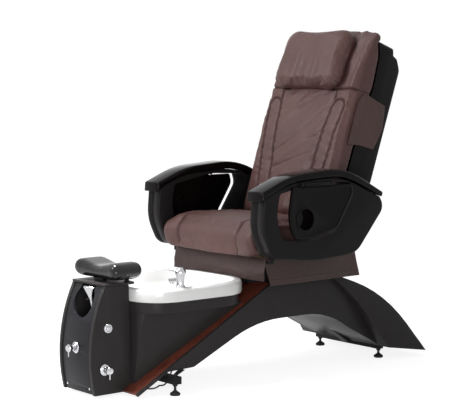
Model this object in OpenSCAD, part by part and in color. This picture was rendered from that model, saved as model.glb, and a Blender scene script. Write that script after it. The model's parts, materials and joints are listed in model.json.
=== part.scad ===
// Pedicure spa chair: reclining massage seat on an arched base, with a foot
// basin and a tap tower in front. +Z is up, the sitter faces -Y, the origin is
// on the floor under the middle of the chair. All sizes are in millimetres.

/* [Base] */
// Width across the two side panels
base_w = 408; // [390:1:420]
// Thickness of a side panel
panel_t = 14; // [10:1:18]
// Height of the deck's top face above the origin
deck_rise = 368; // [364:1:371]
// Slope of the deck board
deck_angle = 28.5; // [28.2:0.1:28.8]
// Thickness of the deck board
deck_t = 18; // [14:1:20]
// Reach of the deck in front of the origin
deck_front = 640; // [630:1:644]
// Height of the base's flat top under the seat
base_top = 372; // [370:1:374]
// Height of the crown of the arch
arch_h = 229; // [220:1:234]
// Thickness of the panel that closes the arch from below
soffit_t = 10; // [8:1:12]
// Reach of the rear fender behind the origin
fender_rear = 816; // [790:1:840]
// Width of the rear fender at its tip
fender_w = 540; // [500:1:580]
// Wall of the moulded fender
fender_wall = 5; // [4:0.5:8]
// Distance from the centre plane to a rear foot
foot_x = 180; // [160:1:190]
// Distance from the centre plane to a front foot
front_foot_x = 230; // [225:1:250]
// Distance of the front feet in front of the origin
front_foot_y = 490; // [484:1:496]
// Diameter of a foot's pad
foot_d = 40; // [34:1:46]
// Diameter of a foot's threaded stem
stem_d = 10; // [8:1:12]

/* [Basin] */
// Width of the basin across its rim
basin_w = 490; // [470:1:510]
// Reach of the rim in front of the origin
basin_front = 608; // [604:1:609]
// Distance of the rim's back edge in front of the origin
basin_back = 100; // [100:1:120]
// Height of the rim's top edge above the floor
rim_z = 400; // [398:1:408]
// Depth of the white band below the rim's top edge
band_h = 50; // [44:1:54]
// Height of the flange below the band
flange_h = 42; // [36:1:48]
// Height of the basin's floor
basin_floor_z = 186; // [180:1:200]
// Wall of the basin
basin_wall = 6; // [5:0.5:8]
// Width of the tub's body just below the flange
tub_w = 336; // [332:1:346]
// Wall of the tub's body
tub_wall = 4; // [3:0.5:5]

/* [Tower] */
// Width of the tower
tower_w = 214; // [204:1:220]
// Thickness of a tower side
tower_side_t = 16; // [12:1:20]
// Radius of the bulging front edge
tower_bulge = 580; // [540:5:640]
// Depth of the tower, front to rear
tower_depth = 170; // [162:1:180]
// Height of the tower's sides above the basin's rim
tower_rise = 12; // [11:1:16]
// Thickness of the top plate
top_plate_t = 8; // [6:1:10]
// Radius of the round notch in the front plate
notch_r = 62; // [54:1:66]
// Radius of the hand sprayer's head
sprayer_r = 34; // [28:1:36]
// Diameter of a valve's wall plate
escutcheon_d = 44; // [36:1:50]
// Diameter of a valve's knob
knob_d = 30; // [26:1:36]
// Diameter of the air button
button_d = 20; // [16:1:24]
// Travel of the air button
button_travel = 4; // [3:0.5:5]

/* [Footrest] */
// Width of the footrest pad
pad_w = 294; // [260:1:310]
// Depth of the footrest pad, front to back
pad_depth = 136; // [122:1:150]
// Thickness of the pad at its raised ends
pad_h = 63; // [56:1:68]
// Dip of the pad's top between its ends
pad_dip = 20; // [12:1:26]
// Distance of the swivel hub from the tower's rear
hub_inset = 53; // [48:1:58]
// Height of the pad's underside above the top plate
pad_lift = 14; // [12:1:20]

/* [Seat] */
// Width of the seat cushion
seat_w = 560; // [540:1:580]
// Reach of the seat cushion in front of the origin
seat_front = 186; // [170:1:200]
// Height of the seat board's top face
board_z = 486; // [482:1:490]
// Thickness of the seat board
board_t = 16; // [12:1:18]
// Thickness of the seat cushion
cushion_h = 129; // [124:1:134]
// Height of the lower edge of the skirts
skirt_z = 377; // [376:1:386]
// Thickness of the leather sheets
leather_t = 3.5; // [2.5:0.5:4.5]
// Height of a slide rail
rail_h = 20; // [16:1:26]

/* [Back] */
// Distance of the recline pivot behind the origin
pivot_y = 330; // [326:1:334]
// Height of the recline pivot
pivot_z = 500; // [498:1:503]
// Tilt of the back from upright, at rest
tilt = 20; // [18:0.5:21]
// Gap between a side of the back and an arm
back_gap = 17; // [14:1:26]
// Length of the back shell above the pivot
shell_top = 838; // [832:1:850]
// Thickness of the back cushion over its middle
back_pad_t = 68; // [60:1:76]
// Wall of the back shell
shell_wall = 5; // [4:0.5:6]
// Width of the head pillow
pillow_w = 420; // [380:1:440]
// Height of the head pillow
pillow_h = 252; // [230:1:270]
// Thickness of the head pillow
pillow_t = 58; // [50:1:70]
// Radius of the recline pins
pin_r = 6; // [5:0.5:7]

/* [Massage unit] */
// Radius of a guide rod
rod_r = 6; // [5:0.5:7]
// Distance from the centre plane to a guide rod
rod_x = 90; // [84:1:96]
// Radius of the lead screw
screw_r = 7; // [6:0.5:8]
// Radius of a kneading roller
roller_r = 32; // [28:1:34]
// Height of the carriage along the back
carriage_h = 110; // [90:1:120]

/* [Arms] */
// Gap between the seat cushion and an arm
arm_gap = 7; // [6:0.5:10]
// Width of an arm's shell
arm_w = 82; // [76:1:88]
// Overhang of the arm cap on each side of the shell
cap_lip = 7; // [4:0.5:9]
// Thickness of the arm cap
cap_t = 32; // [28:1:34]
// Thickness of the side tray
tray_t = 14; // [12:1:16]
// Radius of the cup well in the tray
cup_r = 41; // [36:1:43]
// Depth of the cup well
cup_depth = 34; // [28:1:40]
// Radius of the tray's hinge rod
tray_rod_r = 4; // [3:0.5:5]

/* [Fits] */
// Gap left between neighbouring pieces
seam = 0.3; // [0.2:0.05:0.4]
// Radial clearance of a turning or sliding fit
run_fit = 0.05; // [0.03:0.01:0.08]

/* [Hidden] */
tower_back = basin_front + 2;
tower_front_y = tower_back + tower_depth;
tower_h = rim_z + tower_rise;
hub_y = tower_back + hub_inset;
tub_front = basin_front - 8;
$fn = 48;

// ---- helpers: filleted outlines, rounded slabs and skins ----

function xy(p) = [p[0], p[1]];
function unit(v) = v / norm(v);
function cross2(a, b) = a[0] * b[1] - a[1] * b[0];

// Corner b of an outline, every side moved inward by d, rounded to radius r with n chords
function corner(a, b, c, r, d, n) =
    let (u = unit(b - a), w = unit(c - b), turn = atan2(cross2(u, w), u * w),
         n1 = [-u[1], u[0]], n2 = [-w[1], w[0]], tip = b + d * (n1 + n2) / (1 + n1 * n2))
    r == 0 ? [tip] :
    let (rr = max(r - sign(turn) * d, 0.2), start = tip - u * rr * tan(abs(turn) / 2),
         centre = start + sign(turn) * rr * n1, arm = start - centre)
    [for (i = [0:n]) let (q = turn * i / n)
        centre + [arm[0] * cos(q) - arm[1] * sin(q), arm[0] * sin(q) + arm[1] * cos(q)]];

// Closed anticlockwise outline from corners [across, up, fillet radius], moved inward by d
function outline(pts, d = 0, n = 4) =
    let (k = len(pts))
    [for (i = [0:k - 1])
        each corner(xy(pts[(i + k - 1) % k]), xy(pts[i]), xy(pts[(i + 1) % k]), pts[i][2], d, n)];

// Inset against x for a slab from x0 to x1 whose rims are rounded to radius e
function rounded(x0, x1, e, n = 3) = concat(
    [for (i = [0:n]) [x0 + e * (1 - cos(90 * i / n)), e * (1 - sin(90 * i / n))]],
    [for (i = [n:-1:0]) [x1 - e * (1 - cos(90 * i / n)), e * (1 - sin(90 * i / n))]]);

// The same for half of a cushion: sewn channels at the stated x, then the crown at x = 0
function sewn(half, e, channels, depth, crown) = concat(
    [for (i = [0:3]) [-half + e * (1 - cos(30 * i)), e * (1 - sin(30 * i))]],
    [for (c = channels) each [[-c - 8, 0], [-c, depth], [-c + 8, 0]]],
    [[0, -crown]]);
function mirrored(levels) = concat(levels,
    [for (i = [len(levels) - 2:-1:0]) [-levels[i][0], levels[i][1]]]);

// Corner i of the loop q over points p can be cut off: it is convex and nothing lies in it
function is_ear(p, q, i) =
    let (k = len(q), a = p[q[(i + k - 1) % k]], b = p[q[i]], c = p[q[(i + 1) % k]])
    cross2(b - a, c - b) > 0.001 && len([for (j = q) let (w = p[j])
        if (w != a && w != b && w != c && cross2(b - a, w - a) >= 0
            && cross2(c - b, w - b) >= 0 && cross2(a - c, w - c) >= 0) 1]) == 0;
function first_ear(p, q, i = 0) = i >= len(q) - 1 || is_ear(p, q, i) ? i : first_ear(p, q, i + 1);

// Triangles that fill the anticlockwise outline p, cut off corner by corner
function fill(p, q) = let (k = len(q))
    k == 3 ? [q] :
    let (i = first_ear(p, q))
    concat([[q[(i + k - 1) % k], q[i], q[(i + 1) % k]]],
        fill(p, [for (j = [0:k - 1]) if (j != i) q[j]]));

// Closed skin over rings of equal count, each anticlockwise seen from the last ring's side;
// lid holds the triangles of an end, and an end without them is one convex face
module skin(rings, lid = []) {
    m = len(rings[0]);
    k = len(rings);
    sides = [for (i = [0:k - 2], j = [0:m - 1])
        let (a = i * m + j, b = i * m + (j + 1) % m)
        each [[a, a + m, b], [b, a + m, b + m]]];
    end = len(lid) > 0 ? lid : [[for (j = [0:m - 1]) j]];
    start_end = concat(end, [for (f = end) [for (j = [len(f) - 1:-1:0]) (k - 1) * m + f[j]]]);
    polyhedron([for (r = rings) each r], concat(start_end, sides), convexity = 6);
}

// Slab along X: the YZ outline pts, inset by levels[i][1] at x = levels[i][0]
module slab(pts, levels, n = 4) {
    lid_pts = outline(pts, levels[0][1], n);
    skin([for (l = levels) [for (p = outline(pts, l[1], n)) [l[0], p[0], p[1]]]],
        fill(lid_pts, [for (i = [0:len(lid_pts) - 1]) i]));
}

// Plate along X between x0 and x1 with the YZ outline of its children
module plate_x(x0, x1) {
    translate([x0, 0, 0]) rotate([90, 0, 90]) linear_extrude(x1 - x0) children();
}

// Prism along Y between y0 and y1 with the XZ outline of its children
module prism_y(y0, y1) {
    translate([0, y1, 0]) rotate([90, 0, 0]) linear_extrude(y1 - y0) children();
}

module rod_x(r, x0, x1, y, z) {
    translate([x0, y, z]) rotate([0, 90, 0]) cylinder(r = r, h = x1 - x0);
}

module rod_y(r, y0, y1, x, z) {
    translate([x, y0, z]) rotate([-90, 0, 0]) cylinder(r = r, h = y1 - y0);
}

module box(x0, x1, y0, y1, z0, z1) {
    translate([x0, y0, z0]) cube([x1 - x0, y1 - y0, z1 - z0]);
}

module both_sides() {
    children();
    mirror([1, 0, 0]) children();
}

module side(s) {
    mirror([s < 0 ? 1 : 0, 0, 0]) children();
}

// ---- base ----

panel_out = base_w / 2;
panel_in = panel_out - panel_t;
deck_half = panel_in - seam;
deck_drop = deck_t / cos(deck_angle);
deck_back = (base_top - deck_rise) / tan(deck_angle);
floor_gap = 12;
function deck_z(y) = deck_rise + y * tan(deck_angle);
function deck_y(z) = (z - deck_rise) / tan(deck_angle);

lip = 12;
crease_foot = [592, 30];
crease_bend = [474, 236];
crease_head = [318, base_top];
panel_pts = [
    [-deck_front, deck_z(-deck_front) - lip, 0],
    [-500, deck_z(-500) - lip, 12],
    [-380, 88, 40],
    [-72, arch_h, 560],
    [311, arch_h, 400],
    [crease_foot[0], crease_foot[1], 0],
    [crease_bend[0], crease_bend[1], 620],
    [crease_head[0], crease_head[1], 0],
    [deck_back, base_top, 0],
    [-deck_front, deck_z(-deck_front), 0]];

module side_panel() {
    color([0.13, 0.13, 0.14])
    plate_x(panel_in, panel_out) polygon(outline(panel_pts, 0, 6));
}
module side_panel_left() side_panel();
module side_panel_right() side(-1) side_panel();

module wood_deck() {
    color([0.42, 0.14, 0.08])
    difference() {
        plate_x(-deck_half, deck_half) polygon([
            [-deck_front, floor_gap], [deck_y(floor_gap + deck_drop), floor_gap],
            [deck_back, base_top - deck_drop], [deck_back, base_top],
            [-deck_front, deck_z(-deck_front)]]);
        box(-tower_half - seam, tower_half + seam, -deck_front - 1, -tub_front, 0, base_top);
    }
}

module soffit_panel() {
    color([0.1, 0.1, 0.11])
    plate_x(-deck_half, deck_half) intersection() {
        difference() {
            polygon(outline(panel_pts, 0, 6));
            polygon(outline(panel_pts, soffit_t, 6));
        }
        polygon([[-40, 0], [crease_foot[0] - 4, 0], [crease_foot[0] - 4, 50], [300, arch_h + 40],
            [-40, arch_h + 40]]);
    }
}

fender_half = fender_w / 2;
fender_top_half = panel_out + 14;
fender_foot_z = 20;
fender_top_z = base_top + 4;
crease_run = (crease_foot[0] - crease_bend[0]) / (crease_bend[1] - crease_foot[1]);
crease_gap = seam + 0.1;
fender_pts = [
    [crease_foot[0] + crease_gap + 6 * crease_run, crease_foot[1] - 6, 0],
    [fender_rear, fender_foot_z, 1],
    [fender_rear - 214, 282, 640],
    [343, fender_top_z, 0],
    [crease_head[0] + crease_gap, crease_head[1] + seam, 0],
    [crease_bend[0] + crease_gap, crease_bend[1], 620]];

module fender_form(d) {
    intersection() {
        plate_x(-fender_half, fender_half) polygon(outline(fender_pts, d, 6));
        prism_y(crease_head[0] - 10, fender_rear + 10) polygon([
            [-fender_half + d, fender_foot_z - 20], [fender_half - d, fender_foot_z - 20],
            [fender_top_half - d, fender_top_z + 1], [-fender_top_half + d, fender_top_z + 1]]);
    }
}
module rear_fender() {
    color([0.1, 0.1, 0.11])
    difference() {
        fender_form(0);
        fender_form(fender_wall);
        box(-fender_top_half, fender_top_half, crease_foot[0] + 8, fender_rear - 40,
            0, crease_foot[1] + 6);
        box(-spine_half - 1, spine_half + 1, 400, 640, 0, 175);
    }
}

spine_half = 20;
spine_top = 300;
beam_w = 34;
beam_z = [43, 71];
beam_half = front_foot_x + 18;
rear_foot_y = 620;
rear_bar_z = [38, 62];
spine_front = -front_foot_y + beam_w / 2 + seam;
spine_low = arch_h + soffit_t + 3;
module base_frame() {
    color([0.16, 0.16, 0.17]) {
        plate_x(-spine_half, spine_half) polygon([
            [spine_front, beam_z[0]], [-80, spine_low], [306, spine_low],
            [575, rear_bar_z[0] + 24], [605, rear_bar_z[0]], [640, rear_bar_z[0]],
            [640, rear_bar_z[1]], [560, 120], [400, spine_top - 40], [330, spine_top],
            [-85, spine_top], [spine_front, deck_z(spine_front) - deck_drop - seam]]);
        difference() {
            box(-foot_x - 14, foot_x + 14, rear_foot_y - 14, rear_foot_y + 14,
                rear_bar_z[0], rear_bar_z[1]);
            both_sides() translate([foot_x, rear_foot_y, 0])
                cylinder(r = stem_d / 2 + run_fit, h = 100);
        }
    }
}

module front_beam() {
    color([0.09, 0.09, 0.1]) {
        difference() {
            box(-beam_half, beam_half, -front_foot_y - beam_w / 2, -front_foot_y + beam_w / 2,
                beam_z[0], beam_z[1]);
            both_sides() translate([front_foot_x, -front_foot_y, 0])
                cylinder(r = stem_d / 2 + run_fit, h = 100);
        }
        both_sides() plate_x(panel_out - 6, panel_out + 8) polygon([
            [-front_foot_y + 6, beam_z[1] - 6], [-front_foot_y + 17, beam_z[1] - 6],
            [-front_foot_y + 62, 85.4], [-front_foot_y + 36, 85.4]]);
    }
}

module foot(bar_top) {
    rotate_extrude() polygon([
        [0, 0], [foot_d / 2 - 2, 0], [foot_d / 2, 3], [foot_d / 2 - 1, 9], [foot_d / 4, 15],
        [stem_d / 2, 20], [stem_d / 2, bar_top + 8], [0, bar_top + 8]]);
}
module lock_nut(bar_bottom) {
    translate([0, 0, bar_bottom - 8 - seam]) difference() {
        cylinder(d = stem_d * 1.9, h = 8, $fn = 6);
        translate([0, 0, -1]) cylinder(r = stem_d / 2 + run_fit, h = 10);
    }
}
module levelling_feet() {
    color([0.06, 0.06, 0.06])
    both_sides() {
        translate([front_foot_x, -front_foot_y, 0]) {
            foot(beam_z[1]);
            lock_nut(beam_z[0]);
        }
        translate([foot_x, rear_foot_y, 0]) {
            foot(rear_bar_z[1]);
            lock_nut(rear_bar_z[0]);
        }
    }
}

// Pump cable: leaves the deck board, loops under the front beam and is clipped under the deck
cable_r = 3;
cable_drop = (deck_t + cable_r + seam) / cos(deck_angle);
loop_r = 34;
cable_route = concat(
    [for (a = [0:15:150]) [150 + 8 * sin(a), -540 - loop_r * cos(a),
        deck_z(-574) - cable_drop - 2 - 10 * sin(a)]],
    [[150, -482, 25], [146, -462, 36], [141, -444, 60], [136, -428, 88]],
    [for (y = [-410, -380, -290, -190, -95]) [100 - y / 13, y, deck_z(y) - cable_drop]]);
function tube_ring(route, i, r, sides) =
    let (k = len(route), t = unit(route[min(i + 1, k - 1)] - route[max(i - 1, 0)]),
         side_dir = unit(cross(t, [0, 0, 1])), up_dir = cross(side_dir, t))
    [for (j = [0:sides - 1]) let (q = 360 * j / sides)
        route[i] + r * (cos(q) * side_dir + sin(q) * up_dir)];
module pump_cable() {
    color([0.05, 0.05, 0.05])
    skin([for (i = [len(cable_route) - 1:-1:0]) tube_ring(cable_route, i, cable_r, 8)]);
}

// ---- basin ----

basin_half = basin_w / 2;
tub_half = tub_w / 2;
tub_foot_half = tub_half - 39;
tub_foot_z = 67;
flange_z = rim_z - band_h;
tub_top = flange_z - flange_h;

// Rounded rectangle seen from above: half width, front, back and corner radii, at height z
function ring_at(z, half, front, back, rf, rb) =
    [for (p = outline([[-half, -front, rf], [half, -front, rf], [half, -back, rb],
        [-half, -back, rb]], 0, 7)) [p[0], p[1], z]];
function bowl_rings(d) = [
    ring_at(basin_floor_z - (d > 0 ? basin_wall : 0), tub_half - 50 + d, basin_front - 34 + d,
        basin_back + 272 - d, 60, 60),
    ring_at(basin_floor_z + 14, tub_half - 34 + d, basin_front - 26 + d, basin_back + 252 - d, 64, 70),
    ring_at((basin_floor_z + tub_top) / 2 + 13, tub_half - 24 + d, basin_front - 24 + d,
        basin_back + 150 - d, 66, 90),
    ring_at(tub_top + 1, tub_half - 18 + d, basin_front - 23 + d, basin_back + 72 - d, 68, 110),
    ring_at(flange_z - 8, basin_half - 45 + d, basin_front - 22 + d, basin_back + 50 - d, 90, 130),
    ring_at(flange_z + 10, basin_half - 34 + d, basin_front - 21 + d, basin_back + 34 - d, 100, 136)];
module basin_bowl() {
    color([0.95, 0.95, 0.94])
    difference() {
        basin_form();
        translate([0, -drain_y, basin_floor_z - 20]) cylinder(r = drain_r, h = 40);
        translate([faucet_x, -faucet_y, rim_z - 40]) cylinder(r = faucet_stem_r + seam, h = 60);
    }
}
module basin_form() {
    difference() {
        union() {
            skin(bowl_rings(basin_wall));
            skin([ring_at(flange_z, basin_half - 4, basin_front - 3, basin_back + 3, 124, 146),
                ring_at(flange_z + 8, basin_half, basin_front, basin_back, 126, 150),
                ring_at(rim_z - 12, basin_half, basin_front, basin_back, 126, 150),
                ring_at(rim_z - 3, basin_half - 3, basin_front - 3, basin_back + 3, 124, 147),
                ring_at(rim_z, basin_half - 10, basin_front - 9, basin_back + 10, 118, 140)]);
        }
        skin(concat(bowl_rings(0), [
            ring_at(rim_z - 6, basin_half - 28, basin_front - 20, basin_back + 27, 108, 136),
            ring_at(rim_z + 1, basin_half - 24, basin_front - 18, basin_back + 23, 110, 138)]));
    }
    translate([faucet_x, -faucet_y, rim_z - 16]) cylinder(r1 = 16, r2 = 22, h = 16);
}

module plan(half, front, back, rf, rb) {
    polygon(outline([[-half, -front, rf], [half, -front, rf], [half, -back, rb],
        [-half, -back, rb]], 0, 7));
}
module basin_flange() {
    color([0.1, 0.1, 0.1])
    translate([0, 0, tub_top]) difference() {
        linear_extrude(flange_h - seam)
            plan(basin_half - 14, basin_front - 4, basin_back + 12, 110, 138);
        translate([0, 0, -1]) linear_extrude(flange_h + 2)
            plan(basin_half - 32, basin_front - 13, basin_back + 30, 96, 128);
    }
}

module tub_form(d) {
    intersection() {
        prism_y(-tub_front + d, -basin_back) polygon([
            [-tub_foot_half + d, 0], [tub_foot_half - d, 0], [tub_foot_half - d, tub_foot_z],
            [tub_half - d, tub_top + d], [-tub_half + d, tub_top + d],
            [-tub_foot_half + d, tub_foot_z]]);
        plate_x(-basin_half, basin_half) polygon([
            [-tub_front, deck_z(-tub_front) + seam - d * 4],
            [deck_y(tub_top - seam), tub_top - d * 4],
            [deck_y(tub_top - seam), tub_top + d], [-tub_front, tub_top + d]]);
        linear_extrude(rim_z) plan(tub_half + 8 - d, tub_front - d, basin_back - 16 + d, 44 - d, 60 - d);
    }
}
module tub_shell() {
    color([0.1, 0.1, 0.1])
    difference() {
        tub_form(0);
        tub_form(tub_wall);
    }
}

drain_y = basin_front - 148;
drain_r = 26;
module drain_strainer() {
    color([0.8, 0.8, 0.82])
    translate([0, -drain_y, basin_floor_z + seam]) {
        difference() {
            union() {
                cylinder(r = drain_r + 9, h = 3);
                translate([0, 0, -basin_wall - 24]) cylinder(r = drain_r - seam, h = basin_wall + 25);
            }
            for (a = [0:60:300]) rotate(a) translate([drain_r * 0.62, 0, -50])
                cylinder(r = 4, h = 60);
            translate([0, 0, -50]) cylinder(r = 4, h = 60);
        }
    }
}

jet_z = basin_floor_z + 76;
module jet_cover() {
    color([0.93, 0.93, 0.92])
    translate([0, 25.5 - basin_front, jet_z]) rotate([-90, 0, 0]) difference() {
        union() {
            cylinder(r = 36, h = 5);
            cylinder(r = 30, h = 10);
        }
        for (a = [0:45:315]) rotate(a) translate([19, 0, -1]) cylinder(r = 4.5, h = 14);
        translate([0, 0, -1]) cylinder(r = 7, h = 14);
    }
}
pump_r = 36;
pump_y = basin_front - 63;
pump_z = basin_floor_z - 56;
module jet_pump() {
    color([0.2, 0.2, 0.22])
    difference() {
        union() {
            rod_x(pump_r, -70, 55, -pump_y, pump_z);
            rod_x(pump_r * 0.55, 55, 80, -pump_y, pump_z);
            box(-50, 50, -pump_y - 15, -pump_y + 15, deck_z(-pump_y + 15) + seam, pump_z);
        }
        rod_x(8, 70, 90, -pump_y, pump_z);
    }
}

faucet_x = basin_half - 29;
faucet_y = basin_front - 155;
faucet_stem_r = 9;
faucet_turn_z = rim_z + 44;
module faucet_body() {
    color([0.85, 0.85, 0.87])
    translate([faucet_x, -faucet_y, 0]) {
        translate([0, 0, rim_z - 22]) cylinder(r = faucet_stem_r, h = 30);
        translate([0, 0, rim_z + seam]) rotate_extrude() polygon([
            [0, 0], [18, 0], [18, 3], [15, 6], [13, 12], [13, 40], [14, 43.5], [0, 43.5]]);
        translate([0, 0, rim_z + 26]) rotate([0, -98, 0]) cylinder(r1 = 10, r2 = 8, h = 54);
        translate([-50, 0, rim_z + 8]) cylinder(r = 7.5, h = 15);
        translate([0, 0, faucet_turn_z - 1]) cylinder(r = 5, h = 16);
    }
}
module faucet_lever() {
    color([0.88, 0.88, 0.9])
    translate([faucet_x, -faucet_y, faucet_turn_z + seam]) difference() {
        union() {
            rotate_extrude() polygon([
                [0, 0], [14, 0], [17, 6], [17, 16], [13, 25], [6, 30], [0, 31]]);
            translate([0, 0, 14]) rotate([0, 0, 220]) rotate([0, 78, 0])
                cylinder(r1 = 6.5, r2 = 4.5, h = 36);
        }
        translate([0, 0, -1]) cylinder(r = 5 + run_fit, h = 17);
    }
}

// ---- tower ----

tower_half = tower_w / 2;
tower_in = tower_half - tower_side_t;
tower_mid_z = 150;
bulge_y = -tower_front_y + tower_bulge;
function bulge(z, d = 0) = bulge_y - sqrt(pow(tower_bulge - d, 2) - pow(z - tower_mid_z, 2));
function bulge_line(z0, z1, d, n = 12) =
    [for (i = [0:n]) let (z = z0 + (z1 - z0) * i / n) [bulge(z, d), z]];

module tower_profile() {
    polygon(concat([[-tower_back, tower_h]], bulge_line(tower_h, floor_gap, 0),
        [[-tower_back + 8, floor_gap]]));
}
module tower_side() {
    color([0.12, 0.12, 0.13])
    difference() {
        plate_x(tower_in, tower_half) tower_profile();
        rod_x(valve_r + seam, tower_in - 1, tower_half + 1, -side_valve_y, side_valve_z);
        rod_x(button_d / 2 + 5, tower_in - 1, tower_half + 1, -button_y, button_z);
    }
}
module tower_side_left() tower_side();
module tower_side_right() {
    color([0.12, 0.12, 0.13]) side(-1) plate_x(tower_in, tower_half) tower_profile();
}

front_set = 4;
front_t = 12;
notch_z = tower_h - 60;
module tower_front() {
    color([0.2, 0.2, 0.22])
    difference() {
        plate_x(-tower_in + seam, tower_in - seam) polygon(concat(
            bulge_line(tower_h - seam, floor_gap + 2, front_set),
            bulge_line(floor_gap + 2, tower_h - seam, front_set + front_t)));
        rod_y(notch_r, -tower_front_y - 5, -tower_front_y + 120, 0, notch_z);
        box(-notch_r * 0.72, notch_r * 0.72, -tower_front_y, -tower_front_y + 120, notch_z,
            tower_h + 1);
        rod_y(valve_r + seam, -tower_front_y - 5, -tower_front_y + 60, 0, front_valve_z);
        for (x = [-screw_x, screw_x])
            rod_y(2.6, -tower_front_y - 5, -tower_front_y + 60, x, screw_z);
    }
}

top_plate_back = tower_back - 32;
module tower_top() {
    color([0.06, 0.06, 0.06])
    translate([0, 0, tower_h + seam]) difference() {
        linear_extrude(top_plate_t) polygon(outline([
            [-tower_half, bulge(tower_h) - 3, 6], [tower_half, bulge(tower_h) - 3, 6],
            [tower_half, -top_plate_back, 16], [-tower_half, -top_plate_back, 16]]));
        translate([0, -hub_y, -1]) cylinder(r = hub_pin_r + seam, h = 20);
    }
}

module tower_base() {
    color([0.14, 0.14, 0.15])
    difference() {
        union() {
            box(-tower_in + seam, tower_in - seam, bulge(20, front_set + front_t) + 2,
                48 - tower_back, floor_gap, floor_gap + 8);
            box(-tower_in + seam, tower_in - seam, -tower_back - 8, -tower_back - 2,
                floor_gap + 7, tower_h - seam);
        }
    }
}

holder_z = tower_h - 60;
sprayer_y = tower_front_y - 80;
sprayer_low = tower_h - 94;
function cone_r(z) = sprayer_r * (z - sprayer_low) / (tower_h - 8 - sprayer_low);
module sprayer_holder() {
    color([0.1, 0.1, 0.1])
    difference() {
        union() {
            box(-24, 24, -sprayer_y - 14, -tower_back - 8 - seam, holder_z - 4, holder_z + 4);
            box(-tower_in + seam, tower_in - seam, -tower_back - 18, -tower_back - 8 - seam,
                holder_z - 14, holder_z + 14);
        }
        translate([0, -sprayer_y, holder_z - 10])
            cylinder(r = cone_r(holder_z + 4) + seam, h = 20);
        box(-cone_r(holder_z + 4) - seam, cone_r(holder_z + 4) + seam, -sprayer_y - 40,
            -sprayer_y, holder_z - 10, holder_z + 10);
    }
}
module sprayer() {
    color([0.86, 0.86, 0.84])
    translate([0, -sprayer_y, 0]) rotate_extrude() polygon([
        [0, sprayer_low], [5, sprayer_low + 2], [cone_r(holder_z - 5), holder_z - 5],
        [cone_r(holder_z + 5), holder_z + 5], [sprayer_r, tower_h - 14],
        [sprayer_r, tower_h - 9], [sprayer_r - 4, tower_h - 6], [0, tower_h - 6]]);
}

valve_r = 9;
front_valve_z = 181;
side_valve_y = tower_front_y - 60;
side_valve_z = 106;
knob_reach = 38;
// Valve along -Y through the wall plane y = 0: wall plate, threaded body and stem
module valve_body() {
    rotate([90, 0, 0]) {
        translate([0, 0, seam]) rotate_extrude() polygon([
            [0, 0], [escutcheon_d / 2, 0], [escutcheon_d / 2, 2.5], [escutcheon_d / 2 - 5, 6],
            [12, 7], [11, 14], [0, 14]]);
        translate([0, 0, -34]) cylinder(r = valve_r, h = 35);
        cylinder(r = 4, h = 22);
    }
}
module valve_handle() {
    rotate([90, 0, 0]) difference() {
        union() {
            translate([0, 0, 14 + 2 * seam]) rotate_extrude() polygon([
                [0, 0], [8, 0], [8.5, 8], [knob_d / 2, 11], [knob_d / 2, 18],
                [knob_d / 2 - 4, knob_reach - 14], [0, knob_reach - 13]]);
            translate([0, -knob_d / 2 + 3, knob_reach - 6]) rotate([90, 0, 0])
                cylinder(r1 = 3.2, r2 = 2.4, h = 20);
        }
        translate([0, 0, 13]) cylinder(r = 4 + run_fit, h = 10);
    }
}
module at_front_valve() translate([0, bulge(front_valve_z, front_set) - 0.4, front_valve_z]) children();
module at_side_valve() translate([tower_half, -side_valve_y, side_valve_z]) rotate(90) children();
module front_valve_body() color([0.82, 0.82, 0.84]) at_front_valve() valve_body();
module front_valve_handle() color([0.86, 0.86, 0.87]) at_front_valve() valve_handle();
module side_valve_body() color([0.82, 0.82, 0.84]) at_side_valve() valve_body();
module side_valve_handle() color([0.86, 0.86, 0.87]) at_side_valve() valve_handle();

button_y = tower_front_y - 75;
button_z = 258;
module button_bezel() {
    color([0.84, 0.84, 0.86])
    translate([tower_half, -button_y, button_z]) rotate([0, 90, 0]) difference() {
        union() {
            translate([0, 0, -30]) cylinder(r = button_d / 2 + 4.7, h = 31);
            translate([0, 0, seam]) cylinder(r1 = button_d / 2 + 9, r2 = button_d / 2 + 6, h = 5);
        }
        translate([0, 0, -24]) cylinder(r = button_d / 2 + run_fit, h = 40);
    }
}
module air_button() {
    color([0.9, 0.9, 0.91])
    translate([tower_half, -button_y, button_z]) rotate([0, 90, 0])
        translate([0, 0, -12]) rotate_extrude() polygon([
            [0, 0], [button_d / 2, 0], [button_d / 2, 12 + button_travel + 2],
            [button_d / 2 - 2, 12 + button_travel + 4], [0, 12 + button_travel + 5]]);
}

screw_x = 73;
screw_z = 34;
module tower_screws() {
    color([0.8, 0.8, 0.82])
    for (x = [-screw_x, screw_x])
        translate([x, bulge(screw_z, front_set) - 0.55, screw_z]) rotate([90, 0, 0]) {
            translate([0, 0, seam]) rotate_extrude() polygon([
                [0, 0], [4.6, 0], [4.2, 1.8], [2.4, 2.9], [0, 3.1]]);
            translate([0, 0, -16]) cylinder(r = 2.3, h = 17);
        }
}

// ---- footrest ----

hub_pin_r = 11;
plate_z = tower_h + seam + top_plate_t;
pad_z = plate_z + pad_lift;
pad_y = hub_y - 33;
post_x = 82;
post_y = hub_y - 61;
module footrest_hub() {
    color([0.07, 0.07, 0.07]) {
        translate([0, -hub_y, plate_z + seam]) cylinder(r = 24, h = 4);
        translate([0, -hub_y, tower_h - 2]) cylinder(r = hub_pin_r, h = pad_z - tower_h - 1);
        both_sides() translate([post_x, -post_y, plate_z + seam]) {
            cylinder(r = 12, h = 2);
            cylinder(r = 8, h = pad_lift - 2 * seam - 0.4);
        }
    }
}
module footrest_bracket() {
    color([0.08, 0.08, 0.08])
    difference() {
        union() {
            translate([0, -hub_y, plate_z + 5]) cylinder(r = 26, h = pad_lift - 5 - seam);
            box(-40, 40, -hub_y, -pad_y + 22, pad_z - 5, pad_z - seam);
        }
        translate([0, -hub_y, plate_z]) cylinder(r = hub_pin_r + run_fit, h = 40);
    }
}
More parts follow.
